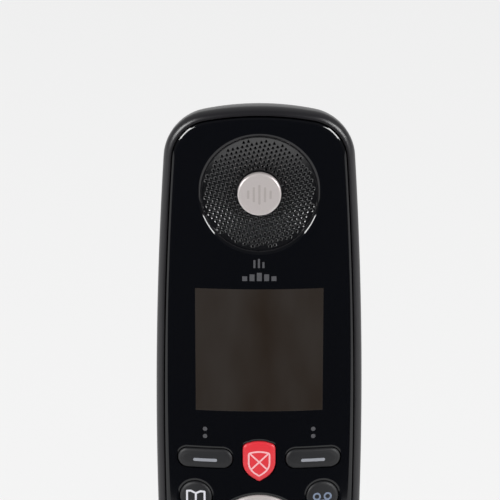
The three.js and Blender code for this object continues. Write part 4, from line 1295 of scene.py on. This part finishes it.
def navigation():
    """The silver rocker, its four marks, and the select key inside it."""
    keys = sizes("phone_keys")
    ring = sizes("phone_navigation")
    middle, radius = rocker_circle()
    bottom = -sizes("phone_handset").fascia_thickness
    hole = ring.hole
    top = keys.proud + ring.rise
    outer = quarter_round(ring.outer_width, ring.outer_height, 6)
    inner = quarter_round(ring.inner_width, ring.inner_height, 4)
    outer_foot = top - ring.outer_height - ring.crown
    inner_foot = top - ring.inner_height - ring.crown
    profile = [(hole, bottom), (radius, bottom)]
    profile += [(radius - inset, outer_foot + rise) for inset, rise in outer]
    profile += [((radius + hole) / 2, top)]
    profile += [(hole + inset, inner_foot + rise) for inset, rise in reversed(inner)]
    bm = spun(profile, 96, middle)
    surface = BVHTree.FromBMesh(bm)
    lay_on_face(bm)
    node = "navigation_rocker"
    piece(bm, "navigation_ring", finish("silver"), node, [node])

    def arrows(bm):
        reach = (radius + hole) / 2
        for quarter in range(4):
            angle = quarter * math.pi / 2
            spot = (middle[0] - reach * math.sin(angle), middle[1] + reach * math.cos(angle))
            arrow(bm, spot, angle, ring.arrow)

    print_on(surface, "navigation_marks", "print_dark", node, arrows)
    cap = hole - keys.gap
    edge = quarter_round(ring.select_width, ring.select_height, 5)
    foot = top - ring.select_height - ring.select_crown
    profile = [(0.0, bottom), (cap, bottom)]
    profile += [(cap - inset, foot + rise) for inset, rise in edge]
    profile += [(0.0, top)]
    bm = spun(profile, 64, middle)
    surface = BVHTree.FromBMesh(bm)
    lay_on_face(bm)
    piece(bm, "select_cap", finish("key"), "select_key", ["select_key"])

    def dot(bm):
        disc_face(bm, ring.select_mark, middle, segments=32)

    print_on(surface, "select_mark", "print_white", "select_key", dot)


# ---------------------------------------------------------------- pieces that follow the CAD


def smooth_copy(node, name, colour, body):
    """A copy of a CAD node with its corners joined and its curved sides shaded smoothly."""
    bm = bmesh.new()
    bm.from_mesh(frame["nodes"][node].data)
    bmesh.ops.remove_doubles(bm, verts=bm.verts, dist=MERGE / 4)
    piece(bm, name, finish(colour), body, [node], turn_out=False)


def dress(node, colour):
    """Gives a CAD node that stays in place its finish."""
    data = frame["nodes"][node].data
    data.materials.clear()
    data.materials.append(finish(colour))


INNER = {
    "earpiece_gasket": "foam",
    "earpiece_speaker": "inner",
    "display_module": "inner",
    "handset_circuit_board": "circuit",
    "keypad_membrane": "silicone",
    "microphone": "foam",
    "ringer_speaker": "inner",
    "battery_cell_left": "cell",
    "battery_cell_right": "cell",
    "battery_bridge": "steel",
    "battery_spring": "steel",
    "battery_plate": "steel",
    "handset_charge_pad_left": "brass",
    "handset_charge_pad_right": "brass",
    "base_circuit_board": "circuit",
}


# ---------------------------------------------------------------- the stage


def stage_object(name, bm, material):
    """An object that belongs to the stage and not to the phone."""
    mesh = bpy.data.meshes.new(name)
    bm.to_mesh(mesh)
    bm.free()
    mesh.materials.append(material)
    made = bpy.data.objects.new(name, mesh)
    bpy.context.scene.collection.objects.link(made)
    return made


def softbox(place, aim, size, power):
    """A square soft light."""
    light = bpy.data.lights.new("Softbox", "AREA")
    light.shape = "RECTANGLE"
    light.size = size
    light.size_y = size
    light.energy = power
    lamp = bpy.data.objects.new("Softbox", light)
    lamp.location = place
    lamp.rotation_euler = (aim - lamp.location).to_track_quat("-Z", "Y").to_euler()
    bpy.context.scene.collection.objects.link(lamp)


def light_world(setting):
    """An even pale ground for the camera, and a dim room for everything else, brighter behind."""
    world = bpy.data.worlds.new("World")
    bpy.context.scene.world = world
    world.use_nodes = True
    nodes, links = world.node_tree.nodes, world.node_tree.links
    seen = nodes["Background"]
    seen.inputs["Color"].default_value = (1, 1, 1, 1)
    seen.inputs["Strength"].default_value = setting.ground
    room = nodes.new("ShaderNodeBackground")
    place = nodes.new("ShaderNodeTexCoord")
    apart = nodes.new("ShaderNodeSeparateXYZ")
    links.new(place.outputs["Generated"], apart.inputs["Vector"])
    behind = spread(nodes, links, apart.outputs["Y"], 0.5, 1.0)
    tones = [setting.room_front] * 3, [setting.room_back] * 3
    links.new(two_tones(nodes, links, behind, tones, (0.45, 0.75)), room.inputs["Color"])
    ray = nodes.new("ShaderNodeLightPath")
    mix = nodes.new("ShaderNodeMixShader")
    links.new(ray.outputs["Is Camera Ray"], mix.inputs["Fac"])
    links.new(room.outputs["Background"], mix.inputs[1])
    links.new(seen.outputs["Background"], mix.inputs[2])
    links.new(mix.outputs["Shader"], nodes["World Output"].inputs["Surface"])


def make_stage():
    """The camera, the pale floor, the world, the softboxes and the dark card that the fascia mirrors."""
    setting = sizes("phone_stage")
    scene = bpy.context.scene
    scene.view_settings.view_transform = "Standard"
    back = Vector((0, -math.cos(setting.elevation), math.sin(setting.elevation)))
    right = Vector((1, 0, 0))
    target = FACE @ Vector((0, from_top(setting.aim_drop), 0))
    aim = target + right * setting.aim_right + back.cross(right) * setting.aim_up
    data = bpy.data.cameras.new("Camera")
    data.lens = setting.lens
    data.clip_start = 0.01
    data.clip_end = 5 * setting.floor_radius
    data.dof.use_dof = False
    camera = bpy.data.objects.new("Camera", data)
    camera.location = aim + back * setting.distance
    camera.rotation_euler = (-back).to_track_quat("-Z", "Y").to_euler()
    scene.collection.objects.link(camera)
    scene.camera = camera

    pale, shader, nodes, links = material_named("Pale floor")
    grain = object_noise(nodes, links, 3.0)
    links.new(spread(nodes, links, grain.outputs["Fac"], 0.88, 0.94), shader.inputs["Roughness"])
    shader.inputs["Base Color"].default_value = (*[setting.floor_tone] * 3, 1)
    shader.inputs["Specular IOR Level"].default_value = 0.0
    shader.inputs["Emission Color"].default_value = (1, 1, 1, 1)
    shader.inputs["Emission Strength"].default_value = setting.floor_glow
    bm = bmesh.new()
    bmesh.ops.create_circle(bm, cap_ends=True, segments=128, radius=setting.floor_radius)
    stage_object("Floor", bm, pale)

    light_world(setting)
    for side in (-1, 1):
        place = Vector((side * setting.softbox_side, -setting.softbox_front, setting.softbox_level))
        softbox(place, target, setting.softbox_size, setting.softbox_power)

    dark, shader, nodes, links = material_named("Dark card")
    place = nodes.new("ShaderNodeTexCoord")
    wave = nodes.new("ShaderNodeTexNoise")
    wave.inputs["Scale"].default_value = 3.0
    links.new(place.outputs["Object"], wave.inputs["Vector"])
    links.new(spread(nodes, links, wave.outputs["Fac"], 0.7, 0.9), shader.inputs["Roughness"])
    shader.inputs["Base Color"].default_value = (0.006, 0.0065, 0.008, 1)
    bm = bmesh.new()
    bmesh.ops.create_grid(bm, x_segments=1, y_segments=1, size=0.5)
    bm.transform(
        Matrix.Translation((0, -setting.card_away, setting.card_level))
        @ Matrix.Rotation(-math.pi / 2, 4, "X")
        @ Matrix.Diagonal((setting.card_width, setting.card_height, 1, 1))
    )
    card = stage_object("Dark card", bm, dark)
    card.visible_camera = False
    card.visible_diffuse = False
    card.visible_shadow = False


# ---------------------------------------------------------------- operators


class PHONE_OT_stage(bpy.types.Operator):
    """Sets the camera, the pale floor and the lights"""

    bl_idname = "phone.stage"
    bl_label = "Stage"

    def execute(self, context):
        make_stage()
        return {"FINISHED"}


class PHONE_OT_casing(bpy.types.Operator):
    """Makes the handset's casing, battery cover and screws"""

    bl_idname = "phone.casing"
    bl_label = "Casing"

    def execute(self, context):
        front_casing()
        smooth_copy("handset_rear_casing", "rear_casing", "casing_back", "handset")
        smooth_copy("battery_cover", "battery_door", "casing_back", "battery_cover")
        for side in ("left", "right"):
            smooth_copy(f"handset_screw_{side}", f"casing_screw_{side}", "steel", "handset")
        return {"FINISHED"}


class PHONE_OT_fascia(bpy.types.Operator):
    """Makes the gloss fascia, the display's window and the prints"""

    bl_idname = "phone.fascia"
    bl_label = "Fascia"

    def execute(self, context):
        fascia()
        display_window()
        face_prints()
        return {"FINISHED"}


class PHONE_OT_earpiece(bpy.types.Operator):
    """Makes the earpiece's grille and badge"""

    bl_idname = "phone.earpiece"
    bl_label = "Earpiece"

    def execute(self, context):
        earpiece_grille()
        earpiece_badge()
        return {"FINISHED"}


class PHONE_OT_keys(bpy.types.Operator):
    """Makes the keys and their symbols"""

    bl_idname = "phone.keys"
    bl_label = "Keys"

    def execute(self, context):
        symbols = {
            "phonebook_key": ("print_white", draw_book),
            "voicemail_key": ("print_blue", draw_tape),
            "talk_key": ("print_green", lambda bm, node: draw_handset(bm, node, math.radians(45))),
            "end_key": ("print_red", lambda bm, node: draw_handset(bm, node, 0.0)),
            "soft_key_left": ("print_light", draw_dash),
            "soft_key_right": ("print_light", draw_dash),
        }
        keys = sizes("phone_keys")
        for node in PILL_KEYS + ROUND_KEYS:
            surface = key_cap(node, keys.pill_dome if node in PILL_KEYS else keys.round_dome)
            colour, draw = symbols.get(node, ("print_light", draw_digit))
            print_on(surface, f"{node}_mark", colour, node, lambda bm: draw(bm, node))
        surface = key_cap("call_block_key", keys.shield_dome, "block_key")
        print_on(surface, "call_block_mark", "print_pink", "call_block_key",
                 lambda bm: draw_shield(bm, "call_block_key"))
        return {"FINISHED"}


class PHONE_OT_navigation(bpy.types.Operator):
    """Makes the navigation rocker and the select key"""

    bl_idname = "phone.navigation"
    bl_label = "Navigation"

    def execute(self, context):
        navigation()
        return {"FINISHED"}


class PHONE_OT_base(bpy.types.Operator):
    """Makes the charging base"""

    bl_idname = "phone.base"
    bl_label = "Base"

    def execute(self, context):
        smooth_copy("base_top_shell", "base_shell", "base", "base")
        smooth_copy("base_bottom_plate", "base_floor", "base", "base")
        smooth_copy("find_button", "find_cap", "button", "find_button")
        smooth_copy("status_light", "light_lens", "lens", "base")
        for kind in ("power", "line"):
            smooth_copy(f"{kind}_socket", f"{kind}_jack", "jack", "base")
        for side in ("left", "right"):
            leaf = f"base_charge_contact_{side}"
            smooth_copy(leaf, f"charge_leaf_{side}", "brass", leaf)
            smooth_copy(f"base_screw_{side}", f"floor_screw_{side}", "steel", "base")
            for end in ("front", "rear"):
                foot = f"foot_{end}_{side}"
                smooth_copy(f"base_{foot}", foot, "rubber", "base")
        return {"FINISHED"}


class PHONE_OT_inside(bpy.types.Operator):
    """Gives the pieces inside the phone their finishes"""

    bl_idname = "phone.inside"
    bl_label = "Inside"

    def execute(self, context):
        for node, colour in INNER.items():
            dress(node, colour)
        return {"FINISHED"}


BUILDERS = [
    PHONE_OT_stage,
    PHONE_OT_casing,
    PHONE_OT_fascia,
    PHONE_OT_earpiece,
    PHONE_OT_keys,
    PHONE_OT_navigation,
    PHONE_OT_base,
    PHONE_OT_inside,
]


class PHONE_PT_panel(bpy.types.Panel):
    """Lists the operators that build the phone"""

    bl_idname = "PHONE_PT_panel"
    bl_label = "Cordless Phone"
    bl_space_type = "VIEW_3D"
    bl_region_type = "UI"
    bl_category = "Phone"

    def draw(self, context):
        for builder in BUILDERS:
            self.layout.operator(builder.bl_idname)


SETTINGS = {
    "phone_handset": PhoneHandsetSizes,
    "phone_keys": PhoneKeySizes,
    "phone_navigation": PhoneNavigationSizes,
    "phone_earpiece": PhoneEarpieceSizes,
    "phone_display": PhoneDisplaySizes,
    "phone_colours": PhoneColours,
    "phone_stage": PhoneStageSettings,
}


def register():
    """Registers the settings, the operators and the panel."""
    for name, group in SETTINGS.items():
        bpy.utils.register_class(group)
        setattr(bpy.types.Scene, name, PointerProperty(type=group))
    for builder in BUILDERS:
        bpy.utils.register_class(builder)
    bpy.utils.register_class(PHONE_PT_panel)


def unregister():
    """Takes back what register made."""
    bpy.utils.unregister_class(PHONE_PT_panel)
    for builder in reversed(BUILDERS):
        bpy.utils.unregister_class(builder)
    for name, group in SETTINGS.items():
        delattr(bpy.types.Scene, name)
        bpy.utils.unregister_class(group)


def main():
    """Builds the whole phone."""
    register()
    bpy.ops.phone.stage()
    bpy.ops.phone.casing()
    bpy.ops.phone.fascia()
    bpy.ops.phone.earpiece()
    bpy.ops.phone.keys()
    bpy.ops.phone.navigation()
    bpy.ops.phone.base()
    bpy.ops.phone.inside()


if __name__ == "__main__":
    main()
